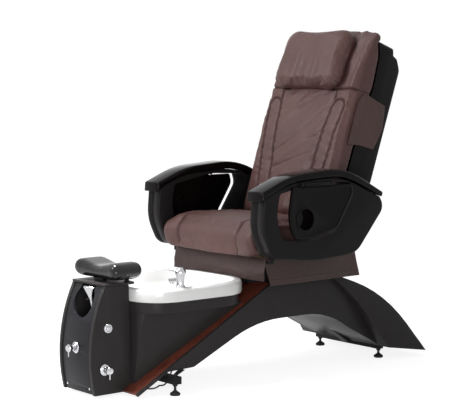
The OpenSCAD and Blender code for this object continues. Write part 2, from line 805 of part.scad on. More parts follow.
// Saddle: the XZ outline dips between two raised ends
pad_half = pad_w / 2;
pad_pts = [
    [-pad_half + 26, pad_z, 24], [pad_half - 26, pad_z, 24],
    [pad_half + 2, pad_z + pad_h * 0.45, 22], [pad_half - 24, pad_z + pad_h + 2, 24],
    [0, pad_z + pad_h - pad_dip - 4, 130], [-pad_half + 24, pad_z + pad_h + 2, 24],
    [-pad_half - 2, pad_z + pad_h * 0.45, 22]];
module footrest_pad() {
    color([0.05, 0.05, 0.05])
    translate([0, -pad_y, 0]) rotate(90) mirror([0, 1, 0])
        slab(pad_pts, rounded(-pad_depth / 2, pad_depth / 2, 18, 4), 5);
}

// ---- seat ----

seat_half = seat_w / 2;
frame_top = board_z - board_t - seam;
frame_plate_t = 6;
board_half = seat_half - 4;
board_front = basin_back - 10;
plate_back = 381;
rail_x = 125;
rail_z = base_top + seam;
module seat_pedestal() {
    color([0.16, 0.16, 0.17]) {
        difference() {
            box(-60, 60, 14, 280, spine_top + seam, base_top - 11);
            box(-54, 54, 0, 300, spine_top + 6, base_top - 18);
        }
        box(-deck_half, deck_half, 14, 310, base_top - 12, base_top);
        both_sides() box(rail_x - 15, rail_x + 15, 16, 308, base_top - 1, base_top + 1);
        both_sides() difference() {
            box(rail_x - 15, rail_x + 15, -60, 312, base_top + seam, base_top + rail_h);
            box(rail_x - 8, rail_x + 8, -70, 320, base_top + 8, base_top + rail_h + 1);
        }
    }
}

ear_x = seat_half - 80;
ear_t = 8;
bracket_x = [seat_half - 6, seat_half];
arm_pin = [350, 600];
stop_y = -72;
function arm_floor(y) = shell_front[1][1] + (y - shell_front[1][0])
    * (shell_front[2][1] - shell_front[1][1]) / (shell_front[2][0] - shell_front[1][0]);
module seat_frame() {
    color([0.18, 0.18, 0.19])
    difference() {
        union() {
            difference() {
                box(-board_half, board_half, -board_front, plate_back,
                    frame_top - frame_plate_t, frame_top);
                box(-14, 14, 240, plate_back + 1, 400, frame_top + 1);
                both_sides() box(150, 184, 60, 260, 400, frame_top + 1);
            }
            both_sides() {
                box(rail_x - 7.5, rail_x + 7.5, -60, 325, base_top + 8 + seam,
                    frame_top - frame_plate_t + 1);
                plate_x(ear_x, ear_x + ear_t) union() {
                    translate([pivot_y, pivot_z]) circle(r = 22);
                    polygon([[pivot_y - 34, frame_top - 2], [pivot_y + 34, frame_top - 2],
                        [pivot_y + 21, pivot_z + 6], [pivot_y - 21, pivot_z + 6]]);
                }
                box(board_half - 1, arm_in + 18, -88, stop_y, frame_top - frame_plate_t, frame_top);
                box(arm_in + 9, arm_in + 18, -88, stop_y, frame_top - 1,
                    arm_floor(stop_y) - seam);
                box(board_half - 12, board_half - 6, arm_pin[0] - 18, arm_pin[0] + 18,
                    frame_top - 2, board_z + 12);
                box(board_half - 12, bracket_x[1], arm_pin[0] - 18, arm_pin[0] + 18,
                    board_z + 6, board_z + 12);
                plate_x(bracket_x[0], bracket_x[1]) union() {
                    translate(arm_pin) circle(r = 20);
                    polygon([[arm_pin[0] - 18, board_z + 6], [arm_pin[0] + 18, board_z + 6],
                        [arm_pin[0] + 18, arm_pin[1]], [arm_pin[0] - 18, arm_pin[1]]]);
                }
            }
        }
        both_sides() {
            rod_x(pin_r + run_fit, ear_x - 1, ear_x + ear_t + 1, pivot_y, pivot_z);
            rod_x(arm_pin_r, bracket_x[0] - 1, bracket_x[1] + 1, arm_pin[0], arm_pin[1]);
        }
    }
}
module seat_board() {
    color([0.6, 0.46, 0.3])
    box(-board_half, board_half, -board_front, 290, board_z - board_t, board_z);
}

crown = 4;
cushion_z = board_z + seam + crown;
seat_pts = [
    [-seat_front + 24, cushion_z, 28], [228, cushion_z, 28], [222, cushion_z + cushion_h - 8, 30],
    [-50, cushion_z + cushion_h, 220], [-seat_front + 34, cushion_z + cushion_h - 12, 54],
    [-seat_front, cushion_z + 76, 56]];
module seat_cushion() {
    color([0.37, 0.26, 0.25])
    slab(seat_pts, mirrored(sewn(seat_half, 27, [seat_half - 74], 5, crown)), 4);
}

arm_in = seat_half + arm_gap;
skirt_in = board_half + seam;
apron_line = [[-board_front - 1, board_z - 1], [-board_front - 5, 455], [-board_front - 8, 430],
    [-board_front - 4, 408], [-board_front - 2, 392]];
// Band of the leather's thickness along a line, standing out towards -across
module band(line) {
    polygon(concat([for (p = line) [p[0] - leather_t, p[1]]],
        [for (i = [len(line) - 1:-1:0]) line[i]]));
}
module front_apron() {
    color([0.35, 0.24, 0.23])
    plate_x(-board_half, board_half) translate([1 - seam, 0]) band(apron_line);
}
module skirts() {
    color([0.34, 0.23, 0.21]) {
        both_sides() intersection() {
            prism_y(-100, 420) mirror([1, 0]) band([[-skirt_in, board_z - 1],
                [-skirt_in, 470], [-skirt_in - 1, 430], [-skirt_in - 2.5, 400],
                [-skirt_in - 1, skirt_z]]);
            plate_x(0, seat_half + 40) polygon([[stop_y + 1, board_z], [-48, skirt_z],
                [plate_back + 20, skirt_z + 2], [plate_back, board_z]]);
        }
        plate_x(-board_half, board_half) translate([leather_t + seam, 0]) band([
            [plate_back, board_z - 1], [plate_back + 2, 450], [plate_back + 10, 415],
            [plate_back + 16, skirt_z + 2]]);
    }
}

arm_pin_r = 7;
module hinge_pins() {
    color([0.7, 0.7, 0.72])
    both_sides() {
        rod_x(pin_r, ear_x - ear_t - 5, ear_x + ear_t + 4, pivot_y, pivot_z);
        rod_x(pin_r + 3, ear_x + ear_t + seam, ear_x + ear_t + 4, pivot_y, pivot_z);
        rod_x(arm_pin_r - run_fit, bracket_x[0], arm_in + 32, arm_pin[0], arm_pin[1]);
    }
}

// Recline drive: motor and tube under the seat, rod to the horn of the back
horn_r = 62;
horn_rest = 15;
drive_z = pivot_z - horn_r * cos(horn_rest) - 1;
horn_y = pivot_y + horn_r * sin(horn_rest);
module recline_actuator() {
    color([0.15, 0.15, 0.16])
    difference() {
        union() {
            rod_y(14, 40, 250, 0, drive_z);
            box(-22, 22, -10, 46, drive_z - 20, drive_z + 20);
            box(-10, 10, 60, 80, drive_z + 10, frame_top - frame_plate_t - seam);
            box(-10, 10, 200, 220, drive_z + 10, frame_top - frame_plate_t - seam);
        }
        rod_y(7 + run_fit, 60, 260, 0, drive_z);
    }
}
module actuator_rod() {
    color([0.75, 0.75, 0.77]) {
        rod_y(7, 130, horn_y - 22, 0, drive_z);
        difference() {
            box(-12, 12, horn_y - 24, horn_y + 12, drive_z - 12, drive_z + 12);
            box(-6, 6, horn_y - 16, horn_y + 30, drive_z - 14, drive_z + 14);
        }
    }
}

// ---- back: drawn upright around the recline pivot, x across, -y forward, z up the back ----

back_half = arm_in - back_gap;
module on_back() translate([0, pivot_y, pivot_z]) rotate([-tilt, 0, 0]) children();

shell_low = 104;
// Front edge of the shell, which the cushion follows
rim_line = [[-104, shell_top, 6], [-78, shell_top - 50, 60], [-66, 650, 80], [-84, 520, 80]];
shell_pts = concat([[-84, shell_low, 8], [54, shell_low, 40], [62, 300, 200],
    [58, shell_top - 72, 50], [28, shell_top - 32, 20], [4, shell_top - 26, 6],
    [-6, shell_top, 12]], rim_line);
shell_bore = [[-150, shell_low + shell_wall, 0], [54 - shell_wall, shell_low + shell_wall, 36],
    [62 - shell_wall, 300, 200], [58 - shell_wall, shell_top - 74, 46],
    [24, shell_top - 32 - shell_wall, 18], [2 - shell_wall, shell_top - 26 - shell_wall, 8],
    [-8 - shell_wall, shell_top - shell_wall, 8], [-150, shell_top - shell_wall, 0]];
module back_shell() {
    color([0.09, 0.09, 0.09])
    on_back() difference() {
        slab(shell_pts, rounded(-back_half, back_half, 16, 3), 4);
        plate_x(-back_half + shell_wall, back_half - shell_wall)
            polygon(outline(shell_bore, 0, 4));
        box(-ear_x - 6, ear_x + 6, -20, 30, shell_low - 10, shell_low + 20);
    }
}

function shifted(pts, dy, dz) = [for (p = pts) [p[0] + dy, p[1] + dz, p[2]]];
function reversed(v) = [for (i = [len(v) - 1:-1:0]) v[i]];
pad_front = -84 - back_pad_t;
recess_half = 78;
rod_y0 = -20;
carriage_u = 150;
roller_y = rod_y0 - 30;
roller_u = carriage_u + carriage_h / 2;
roller_reach = -roller_y + roller_r;
// Outline of the cushion whose rear face follows the given line, upwards
function cushion_pts(rear) = concat(
    [[pad_front + 24, 76, 26], [-88, 76, 8]], rear,
    [[-90, shell_top + 0.5, 2], [-88, shell_top + 30, 16], [-100, shell_top + 46, 10],
     [pad_front + 37, shell_top + 46, 7],
     [pad_front + 12, shell_top - 100, 300], [pad_front, 430, 500], [pad_front + 18, 160, 300]]);
on_shell = reversed(shifted(rim_line, -0.5, 0.5));
// Over the rollers' run the rear face stands back, so that they turn in a recess
over_rollers = [[-roller_reach - 7, 520, 80], [-roller_reach - 9, 650, 80],
    [-roller_reach - 7, shell_top - 50, 60], [-104 - 0.5, shell_top + 0.5, 6]];
back_levels = mirrored(sewn(back_half - 1, 25, [back_half - 58, back_half - 134], 5, 0));
function recess_levels(levels) = [for (i = [0:len(levels) - 1])
    each levels[i][0] == 0
        ? [[-recess_half - 5, 0], [-recess_half, 0], levels[i], [recess_half, 0],
            [recess_half + 5, 0]]
        : [levels[i]]];
// Share of an inset that a point takes: all at the front, foot and crest, none on the shell
function share(x, none, all) = min(max((x - none) / (all - none), 0), 1);
function drawn_in(p, d) = [p[0] + d * share(p[0], -104, -148),
    p[1] + d * (share(p[1], 140, 76) - share(p[1], 845, 885))];
function cushion_ring(l) = let (rear = abs(l[0]) <= recess_half ? over_rollers : on_shell)
    [for (p = outline(cushion_pts(rear), 0, 3)) drawn_in(p, l[1])];
module back_cushion() {
    levels = recess_levels(back_levels);
    lid_pts = cushion_ring(levels[0]);
    color([0.37, 0.26, 0.25])
    on_back() skin([for (l = levels) [for (p = cushion_ring(l)) [l[0], p[0], p[1]]]],
        fill(lid_pts, [for (i = [0:len(lid_pts) - 1]) i]));
}

pillow_low = 606;
// Pillow drawn in its front view: x across, z up the back
pillow_half = pillow_w / 2;
pillow_pts = [
    [-pillow_half + 8, pillow_low, 66], [pillow_half - 8, pillow_low, 66],
    [pillow_half - 14, pillow_low + pillow_h, 70], [-pillow_half + 14, pillow_low + pillow_h, 70]];
module head_pillow() {
    color([0.38, 0.27, 0.26])
    on_back() translate([0, pad_front + 0.6, pillow_low]) rotate([-5, 0, 0])
        translate([0, 0, -pillow_low]) rotate(90) mirror([0, 1, 0])
        slab(pillow_pts, concat([[-pillow_t, 38], [-pillow_t + 4, 24], [-pillow_t + 14, 11],
            [-pillow_t + 30, 2], [-18, 0], [-6, 8], [0, 22]]), 5);
}

module side_flaps() {
    color([0.3, 0.17, 0.15])
    on_back() both_sides() plate_x(back_half + seam, back_half + 3) polygon([
        [-72, 391], [21, 413], [38, 509], [22, 600], [-56, 614], [-76, 567]]);
}

board_y = [18, 26];
block_u = [120, 134, 752, 766];
module back_frame() {
    color([0.2, 0.2, 0.21])
    on_back() difference() {
        union() {
            box(-ear_x + 1, ear_x - 1, board_y[0], board_y[1], 24, shell_top - 40.6);
            both_sides() plate_x(ear_x - ear_t - 1, ear_x - 1) union() {
                circle(r = 20);
                polygon([[-12, 0], [12, 0], [26, 24], [26, 150], [10, 150], [-16, 60]]);
            }
            for (u = [block_u[0], block_u[2]])
                box(-rod_x - 14, rod_x + 14, rod_y0 - 12, board_y[1], u, u + 14);
            both_sides() translate([rod_x, rod_y0, block_u[0]])
                cylinder(r = rod_r, h = block_u[3] - block_u[0]);
            plate_x(-4, 4) union() {
                polygon([[20, 40], [26, 40], [horn_tip[0] + 9, horn_tip[1]],
                    [horn_tip[0] - 8, horn_tip[1]], [12, 0], [14, 40]]);
                translate(horn_tip) circle(r = 10);
            }
        }
        both_sides() rod_x(pin_r + run_fit, ear_x - ear_t - 8, ear_x + 1, 0, 0);
        translate([0, rod_y0, block_u[0] - 1]) cylinder(r = screw_r + run_fit, h = 700);
    }
}
// Horn's end, turned from straight down by its rest angle and the tilt
horn_tip = horn_r * [sin(horn_rest + tilt), -cos(horn_rest + tilt)];

module massage_carriage() {
    color([0.25, 0.25, 0.27])
    on_back() difference() {
        union() {
            box(-rod_x - 16, rod_x + 16, rod_y0 - 14, rod_y0 + 14, carriage_u,
                carriage_u + carriage_h);
            both_sides() box(26, 34, roller_y - 14, rod_y0, roller_u - 16, roller_u + 16);
        }
        both_sides() translate([rod_x, rod_y0, carriage_u - 1])
            cylinder(r = rod_r + run_fit, h = carriage_h + 2);
        translate([0, rod_y0, carriage_u - 1]) cylinder(r = screw_r + run_fit, h = carriage_h + 2);
        rod_x(8 + run_fit, -40, 40, roller_y, roller_u);
        both_sides() box(roller_x - 14, roller_x + 14, roller_y - 40, rod_y0 + 9,
            roller_u - roller_r - 3, roller_u + roller_r + 3);
    }
}
roller_x = 56;
module massage_rollers() {
    color([0.6, 0.6, 0.62])
    on_back() {
        rod_x(8, -roller_x - 12, roller_x + 12, roller_y, roller_u);
        both_sides() translate([roller_x - 11, roller_y, roller_u]) rotate([0, 90, 0])
            rotate_extrude() polygon([[7, 0], [roller_r - 6, 0], [roller_r, 6],
                [roller_r, 16], [roller_r - 6, 22], [7, 22]]);
    }
}
module lead_screw() {
    color([0.72, 0.72, 0.74])
    on_back() translate([0, rod_y0, block_u[0] - 6]) {
        cylinder(r = screw_r, h = block_u[3] - block_u[0] + 8);
        cylinder(r = screw_r + 4, h = 6 - seam);
    }
}
module massage_motor() {
    color([0.3, 0.3, 0.32])
    on_back() translate([0, rod_y0, block_u[3] + 3]) difference() {
        union() {
            translate([0, 0, -3 + seam]) cylinder(r = 24, h = 34);
            box(-16, 16, 0, board_y[0] - seam - rod_y0, -3 + seam, 6);
        }
        translate([0, 0, -4]) cylinder(r = screw_r + 3, h = 12);
    }
}

// ---- arms (drawn for the left arm, +X) ----

arm_out = arm_in + arm_w;
// Lower edge of the cap, front to rear
cap_line = [[-190, 709, 0], [-152, 733, 60], [-40, 778, 400], [222, 794, 350], [441, 711, 0]];
cap_pts = concat(cap_line, [[448, 730, 10], [226, 794 + cap_t, 350], [-42, 774 + cap_t, 400],
    [-186, 747, 10]]);
shell_front = [[-182, 600, 180], [-130, 492, 60], [90, 468, 700], [310, 484, 90],
    [462, 660, 45], [436, 700, 8]];
arm_pts = concat([[-172, 720 - seam, 4]], shell_front,
    [[222, 794 - 2 * seam, 350], [-40, 778 - 2 * seam, 400], [-152, 733 - seam, 60]]);
// D-shaped opening behind the tray, open in a slit above and behind it
opening_pts = [[-88, 556, 45], [60, 545, 200], [186, 572, 50], [284, 722, 40], [270, 766, 12],
    [90, 774, 300], [-96, 738, 16], [-113, 660, 150]];
arm_edge = 8;
module arm_shell() {
    color([0.1, 0.1, 0.11])
    difference() {
        slab(arm_pts, rounded(arm_in, arm_out, arm_edge, 3), 5);
        plate_x(arm_in - 1, arm_out + 1) polygon(outline(opening_pts, 0, 5));
        rod_x(arm_pin_r, arm_in - 1, arm_in + 34, arm_pin[0], arm_pin[1]);
    }
}
module arm_shell_left() arm_shell();
module arm_shell_right() side(-1) arm_shell();

module arm_cap() {
    color([0.04, 0.04, 0.04])
    slab(cap_pts, rounded(arm_in - cap_lip + seam, arm_out + cap_lip, 8, 3), 6);
}
module arm_cap_left() arm_cap();
module arm_cap_right() side(-1) arm_cap();

tray_in = arm_out + 3;
tray_out = tray_in + tray_t;
tray_pts = [[-36, 562, 48], [40, 556, 80], [188, 588, 60], [274, 722, 40], [264, 761, 12],
    [-46, 761, 14], [-64, 640, 150]];
tray_axis = [tray_in + tray_t / 2, 767];
cup_at = [20, 635];
tray_rod = [0, 165];
barrel = [16, 149];
barrel_r = tray_rod_r + 3.5;
module tray() {
    color([0.06, 0.05, 0.05])
    difference() {
        union() {
            slab(tray_pts, [[tray_in, 2], [tray_in + 2, 0], [tray_out - 4, 0],
                [tray_out - 1, 2], [tray_out, 5]], 5);
            rod_x(cup_r + 3, tray_out - 3 - cup_depth, tray_in + 1, cup_at[0], cup_at[1]);
            rod_x(cup_r + 6, tray_in + 1, tray_out - 0.5, cup_at[0], cup_at[1]);
            rod_y(barrel_r, barrel[0], barrel[1], tray_axis[0], tray_axis[1]);
            box(tray_in - 5, tray_in + 1, 40, 54, 600, 758);
        }
        difference() {
            plate_x(tray_out - 2.5, tray_out + 2) polygon(outline(tray_pts, 13, 5));
            rod_x(cup_r + 6, tray_in, tray_out + 1, cup_at[0], cup_at[1]);
        }
        rod_x(cup_r, tray_out - cup_depth, tray_out + 2, cup_at[0], cup_at[1]);
        for (y = [tray_rod[0] - 1, tray_rod[1] - 11])
            rod_y(13, y, y + 12, tray_axis[0], tray_axis[1]);
        rod_y(tray_rod_r + run_fit, barrel[0] - 1, barrel[1] + 1, tray_axis[0], tray_axis[1]);
    }
}
module tray_left() tray();
module tray_right() side(-1) tray();

module tray_hinge() {
    color([0.2, 0.2, 0.2]) {
        rod_y(tray_rod_r, tray_rod[0], tray_rod[1], tray_axis[0], tray_axis[1]);
        for (y = [tray_rod[0], tray_rod[1] - 10])
            box(arm_out + seam, tray_axis[0] + barrel_r, y, y + 10, tray_axis[1] - 5,
                tray_axis[1] + 8);
    }
}
module tray_hinge_left() tray_hinge();
module tray_hinge_right() side(-1) tray_hinge();

base_frame();
front_beam();
levelling_feet();
wood_deck();
side_panel_left();
side_panel_right();
soffit_panel();
rear_fender();
pump_cable();
basin_bowl();
basin_flange();
tub_shell();
drain_strainer();
jet_cover();
jet_pump();
faucet_body();
faucet_lever();
tower_side_left();
tower_side_right();
tower_front();
tower_top();
tower_base();
sprayer_holder();
sprayer();
front_valve_body();
front_valve_handle();
side_valve_body();
side_valve_handle();
button_bezel();
air_button();
tower_screws();
footrest_hub();
footrest_bracket();
footrest_pad();
seat_pedestal();
seat_frame();
seat_board();
seat_cushion();
front_apron();
skirts();
hinge_pins();
recline_actuator();
actuator_rod();
back_frame();
back_cushion();
head_pillow();
back_shell();
side_flaps();
massage_motor();
massage_carriage();
lead_screw();
massage_rollers();
arm_shell_left();
arm_shell_right();
arm_cap_left();
arm_cap_right();
tray_left();
tray_right();
tray_hinge_left();
tray_hinge_right();
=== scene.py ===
"""Dresses the pedicure spa chair's frame: finishes, padding, sheets, floor, light and camera."""

import json
import math

import bmesh
import bpy
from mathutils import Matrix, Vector, noise


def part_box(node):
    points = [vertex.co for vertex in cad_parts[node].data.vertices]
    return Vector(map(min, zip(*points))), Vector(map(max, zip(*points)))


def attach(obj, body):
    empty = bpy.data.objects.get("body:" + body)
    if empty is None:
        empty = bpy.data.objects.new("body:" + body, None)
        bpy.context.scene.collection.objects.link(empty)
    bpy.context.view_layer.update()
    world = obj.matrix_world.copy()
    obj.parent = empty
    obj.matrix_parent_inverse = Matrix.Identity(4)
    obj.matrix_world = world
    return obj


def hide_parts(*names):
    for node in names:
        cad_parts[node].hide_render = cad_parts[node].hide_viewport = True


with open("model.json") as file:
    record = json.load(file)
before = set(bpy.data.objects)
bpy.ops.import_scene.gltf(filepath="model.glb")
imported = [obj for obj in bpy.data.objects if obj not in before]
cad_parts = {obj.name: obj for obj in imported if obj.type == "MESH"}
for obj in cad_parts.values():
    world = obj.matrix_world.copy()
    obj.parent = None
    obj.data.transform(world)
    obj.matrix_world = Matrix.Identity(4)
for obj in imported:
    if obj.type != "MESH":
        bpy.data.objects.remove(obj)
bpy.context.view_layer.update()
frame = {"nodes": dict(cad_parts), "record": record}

bl_info = {
    "name": "Pedicure Spa Chair",
    "version": (1, 0, 0),
    "blender": (4, 5, 0),
    "location": "3D View > Sidebar > Spa Chair",
    "description": "Dresses a reclining pedicure chair with leather, lacquered wood and chrome",
    "category": "Add Mesh",
}

NODES = frame["nodes"]
RECORD = frame["record"]
BODY_OF = {node: body for body, nodes in RECORD["behaviour"]["bodies"].items() for node in nodes}
SLOT_OF = {part["node"]: part["material_slot"] for part in RECORD["subparts"]}

# The back cushion's own axes: across, forwards from the hinge line, and up the back
BACK_PIVOT = Vector((0, 0.33, 0.5))
BACK_TILT = math.radians(20)
BACK_FRONT = Vector((0, -math.cos(BACK_TILT), math.sin(BACK_TILT)))
BACK_UP = Vector((0, math.sin(BACK_TILT), math.cos(BACK_TILT)))

# Sewn lines, in metres: the seat's two seams, the channels beside the back's middle panel, which
# stand a little further apart towards their tops, the yoke's seam over them and the tails that
# join the two
SEAT_SEAM = 0.184
CHANNEL_MIDDLE = 0.126
CHANNEL_LEAN = 0.12
CHANNEL_WIDTH = 0.068
CHANNEL_TOP = 0.535
YOKE = 0.614
YOKE_LEAN = 0.03
TAIL = 0.162

# Where the CAD solids have the seat's seam and the channels' two sides, before they are moved
CAD_SEAT_SEAM = 0.206
CAD_CHANNEL = (0.136, 0.212)

# The leather's stitches: how far they lie from the seam, in metres, and how fast they follow each
# other, in radians per metre. The hem is the height of the stitching on apron and skirts
STITCH_AWAY = 0.0042
STITCH_TURN = 1050
HEM = 0.3955

# The deck's slope, the faucet's upright axis, and other places and sizes in metres
DECK_SLOPE = math.radians(28.5)
FAUCET_AXIS = (0.216, -0.453)
SEAT_SWELL_END = 0.19
PILLOW_MIDDLE = 0.736
BOARD_TOP = 0.486
SKIRT_DROP = 0.11
SHEET_GRID = 0.012
FLAP_FORWARD = 0.05

# How many frames the padding's cloth run takes
CLOTH_FRAMES = 20

# The studio: how much of its white lights matt surfaces, and how much the floor glows for the
# camera and in reflections
FILL_LIGHT = 0.27
FLOOR_GLOW = 0.86

# Lamps: name, place, target, size in metres, power in watts and spread in degrees
LAMPS = (
    ("key", (-1.6, -3.9, 3.2), (0, 0, 0.5), 2.2, 150, 180),
    ("side", (2.6, -2.2, 0.55), (0, -0.4, 0.3), 1.2, 36, 180),
    ("overhead", (0, -0.66, 1.25), (0, -0.52, 0.2), 0.25, 2, 48),
    ("spark", (-0.9, -0.9, 3.2), (0, 0, 0.6), 0.5, 20, 180),
)

# The camera: its place, its turn from straight back, its dip below level and its lens in mm
CAMERA_PLACE = (4.608, -3.804, 1.205)
CAMERA_TURN = math.radians(50.69)
CAMERA_DIP = math.radians(5.1)
CAMERA_LENS = 116.6


def on_back(point):
    """A point's place on the back: across, forwards and up, in metres."""
    away = Vector(point) - BACK_PIVOT
    return point[0], away.dot(BACK_FRONT), away.dot(BACK_UP)


def off_back(across, forward, up):
    """The point in the chair's frame of a place on the back."""
    return Vector((across, 0, 0)) + BACK_PIVOT + BACK_FRONT * forward + BACK_UP * up


def bump(x, centre, width):
    """A smooth hump of height 1 round a centre."""
    return math.exp(-((x - centre) / width) ** 2)


def ease(x, low, high):
    """0 below low, 1 above high and smooth between."""
    t = min(max((x - low) / (high - low), 0.0), 1.0)
    return t * t * (3 - 2 * t)


# ---- settings -------------------------------------------------------------------------------


class UpholsterySettings(bpy.types.PropertyGroup):
    """Leather and padding of the chair"""

    leather: bpy.props.FloatVectorProperty(
        name="Leather", description="Colour of the upholstery leather", subtype="COLOR",
        size=3, min=0, max=1, default=(0.084, 0.039, 0.035))
    swell: bpy.props.FloatProperty(
        name="Swell", description="How far the padding may swell past its pattern",
        unit="LENGTH", min=0, max=0.02, default=0.007)
    seam_depth: bpy.props.FloatProperty(
        name="Seam Depth", description="How deep the sewn channels pull in",
        unit="LENGTH", min=0, max=0.012, default=0.006)
    wrinkle: bpy.props.FloatProperty(
        name="Wrinkle", description="Height of the soft folds in the leather",
        unit="LENGTH", min=0, max=0.006, default=0.0036)


class FinishSettings(bpy.types.PropertyGroup):
    """Colours of the hard parts"""

    panel: bpy.props.FloatVectorProperty(
        name="Panels", description="Colour of the satin base panels", subtype="COLOR",
        size=3, min=0, max=1, default=(0.034, 0.031, 0.031))
    tower: bpy.props.FloatVectorProperty(
        name="Tower Front", description="Colour of the tower's front plate", subtype="COLOR",
        size=3, min=0, max=1, default=(0.015, 0.015, 0.018))
    wood: bpy.props.FloatVectorProperty(
        name="Wood", description="Colour of the deck's veneer", subtype="COLOR",
        size=3, min=0, max=1, default=(0.17, 0.042, 0.025))
    basin: bpy.props.FloatVectorProperty(
        name="Basin", description="Colour of the basin", subtype="COLOR",
        size=3, min=0, max=1, default=(0.93, 0.93, 0.92))
    edge: bpy.props.FloatProperty(
        name="Edge Radius", description="Rounding of the cut edges of panels",
        unit="LENGTH", min=0.0002, max=0.004, default=0.0012)


# ---- shader expressions ---------------------------------------------------------------------


class Signal:
    """A socket in a material. Arithmetic on it adds Math nodes."""

    def __init__(self, finish, socket):
        self.finish = finish
        self.socket = socket

    def math(self, operation, *values):
        return self.finish.node("ShaderNodeMath", {"operation": operation}, list(values))

    def __add__(self, other):
        return self.math("ADD", self, other)

    def __radd__(self, other):
        return self.math("ADD", other, self)

    def __sub__(self, other):
        return self.math("SUBTRACT", self, other)

    def __rsub__(self, other):
        return self.math("SUBTRACT", other, self)

    def __mul__(self, other):
        return self.math("MULTIPLY", self, other)

    def __pow__(self, other):
        return self.math("POWER", self, other)

    def __truediv__(self, other):
        return self.math("DIVIDE", self, other)

    def __abs__(self):
        return self.math("ABSOLUTE", self)

    def least(self, other):
        return self.math("MINIMUM", self, other)

    def most(self, other):
        return self.math("MAXIMUM", self, other)

    def clipped(self):
        return self.finish.node("ShaderNodeClamp", {}, [self])

    def within(self, near, far):
        """1 where the value is below near, 0 above far and smooth between."""
        return self.finish.node("ShaderNodeMapRange", {"interpolation_type": "SMOOTHSTEP"},
                                {0: self, 1: near, 2: far, 3: 1.0, 4: 0.0})


class Finish:
    """One material and its Principled shader, built from node() calls."""

    def __init__(self, name, **fixed):
        self.material = bpy.data.materials.new(name)
        self.material.use_nodes = True
        self.tree = self.material.node_tree
        self.tree.nodes.clear()
        self.output = self.tree.nodes.new("ShaderNodeOutputMaterial")
        self.shader = self.tree.nodes.new("ShaderNodeBsdfPrincipled")
        self.tree.links.new(self.shader.outputs[0], self.output.inputs[0])
        self.set(**fixed)

    def node(self, kind, settings, values=(), out=0):
        """Adds a node of that kind, sets it up, fills its inputs and returns an output."""
        made = self.tree.nodes.new(kind)
        for key, value in settings.items():
            if key == "stops":
                ramp = made.color_ramp
                while len(ramp.elements) < len(value):
                    ramp.elements.new(0.5)
                for element, (place, colour) in zip(ramp.elements, value):
                    element.position = place
                    element.color = (*colour, 1)
            else:
                setattr(made, key, value)
        filled = values.items() if isinstance(values, dict) else enumerate(values)
        for key, value in filled:
            self.fill(made.inputs[key], value)
        return Signal(self, made.outputs[out])

    def fill(self, socket, value):
        if isinstance(value, Signal):
            self.tree.links.new(value.socket, socket)
        elif hasattr(value, "__len__") and len(value) == 3 and socket.type == "RGBA":
            socket.default_value = (*value, 1)
        else:
            socket.default_value = value

    def set(self, **inputs):
        """Links or sets inputs of the shader, named with _ for a space."""
        for key, value in inputs.items():
            self.fill(self.shader.inputs[key.replace("_", " ")], value)

    def place(self, scale=(1, 1, 1), turn=(0, 0, 0), shift=(0, 0, 0)):
        """Object coordinates, scaled, turned and shifted."""
        at = self.node("ShaderNodeTexCoord", {}, out=3)
        return self.node("ShaderNodeMapping", {}, {
            "Vector": at, "Rotation": turn, "Scale": scale, "Location": shift})

    def axes(self, at):
        """The three parts of a place, each as a value."""
        parts = self.node("ShaderNodeSeparateXYZ", {}, [at]).socket.node.outputs
        return [Signal(self, part) for part in parts]

    def cloud(self, size, detail=3, rough=0.5, at=None, distortion=0.0):
        """Noise whose blotches are about size metres across."""
        return self.node("ShaderNodeTexNoise", {}, {
            "Vector": at or self.place(), "Scale": 1 / size, "Detail": detail,
            "Roughness": rough, "Distortion": distortion})

    def cells(self, size):
        """Distance to the nearest of points about size metres apart, with soft borders."""
        return self.node("ShaderNodeTexVoronoi", {"feature": "SMOOTH_F1"}, {
            "Vector": self.place(), "Scale": 1 / size})

    def tint(self, factor, low, high):
        """A colour between low and high."""
        ends = {0: factor, 6: low, 7: high}
        return self.node("ShaderNodeMix", {"data_type": "RGBA"}, ends, out=2)

    def relief(self, height, depth, strength=1.0):
        """Makes the surface's normal follow a height of that depth in metres."""
        self.set(Normal=self.node("ShaderNodeBump", {}, {
            "Strength": strength, "Distance": depth, "Height": height}))


def shade(colour, amount):
    """A colour made darker or lighter."""
    return tuple(min(channel * amount, 1.0) for channel in colour)


def back_lines(f):
    """Distance from the back cushion's sewn lines, and the way along them."""
    shift = (0, BACK_PIVOT.z * math.sin(BACK_TILT) - BACK_PIVOT.y * math.cos(BACK_TILT),
             -BACK_PIVOT.y * math.sin(BACK_TILT) - BACK_PIVOT.z * math.cos(BACK_TILT))
    across, _, up = f.axes(f.place(turn=(BACK_TILT, 0, 0), shift=shift))
    side = abs(across)
    out = side - CHANNEL_MIDDLE - up * CHANNEL_LEAN
    over = (up - CHANNEL_TOP).most(0.0)
    bend = abs((out * out + over * over) ** 0.5 - CHANNEL_WIDTH / 2)
    yoke = abs(up - YOKE - (side - 0.2) * YOKE_LEAN).most(0.13 - side)
    tail = abs(side - TAIL).most(0.56 - up).most(up - YOKE)
    return bend.least(yoke).least(tail), up + across * 0.7


def seat_lines(f):
    """Distance from the seat cushion's two seams, and the way along them."""
    across, along, up = f.axes(f.place())
    return abs(abs(across) - SEAT_SEAM), along - up


def hem_lines(f):
    """Distance from the sheets' hem stitching, and the way along it."""
    across, along, up = f.axes(f.place())
    return abs(abs(up - HEM) - 0.0075) + 0.0026, across + along


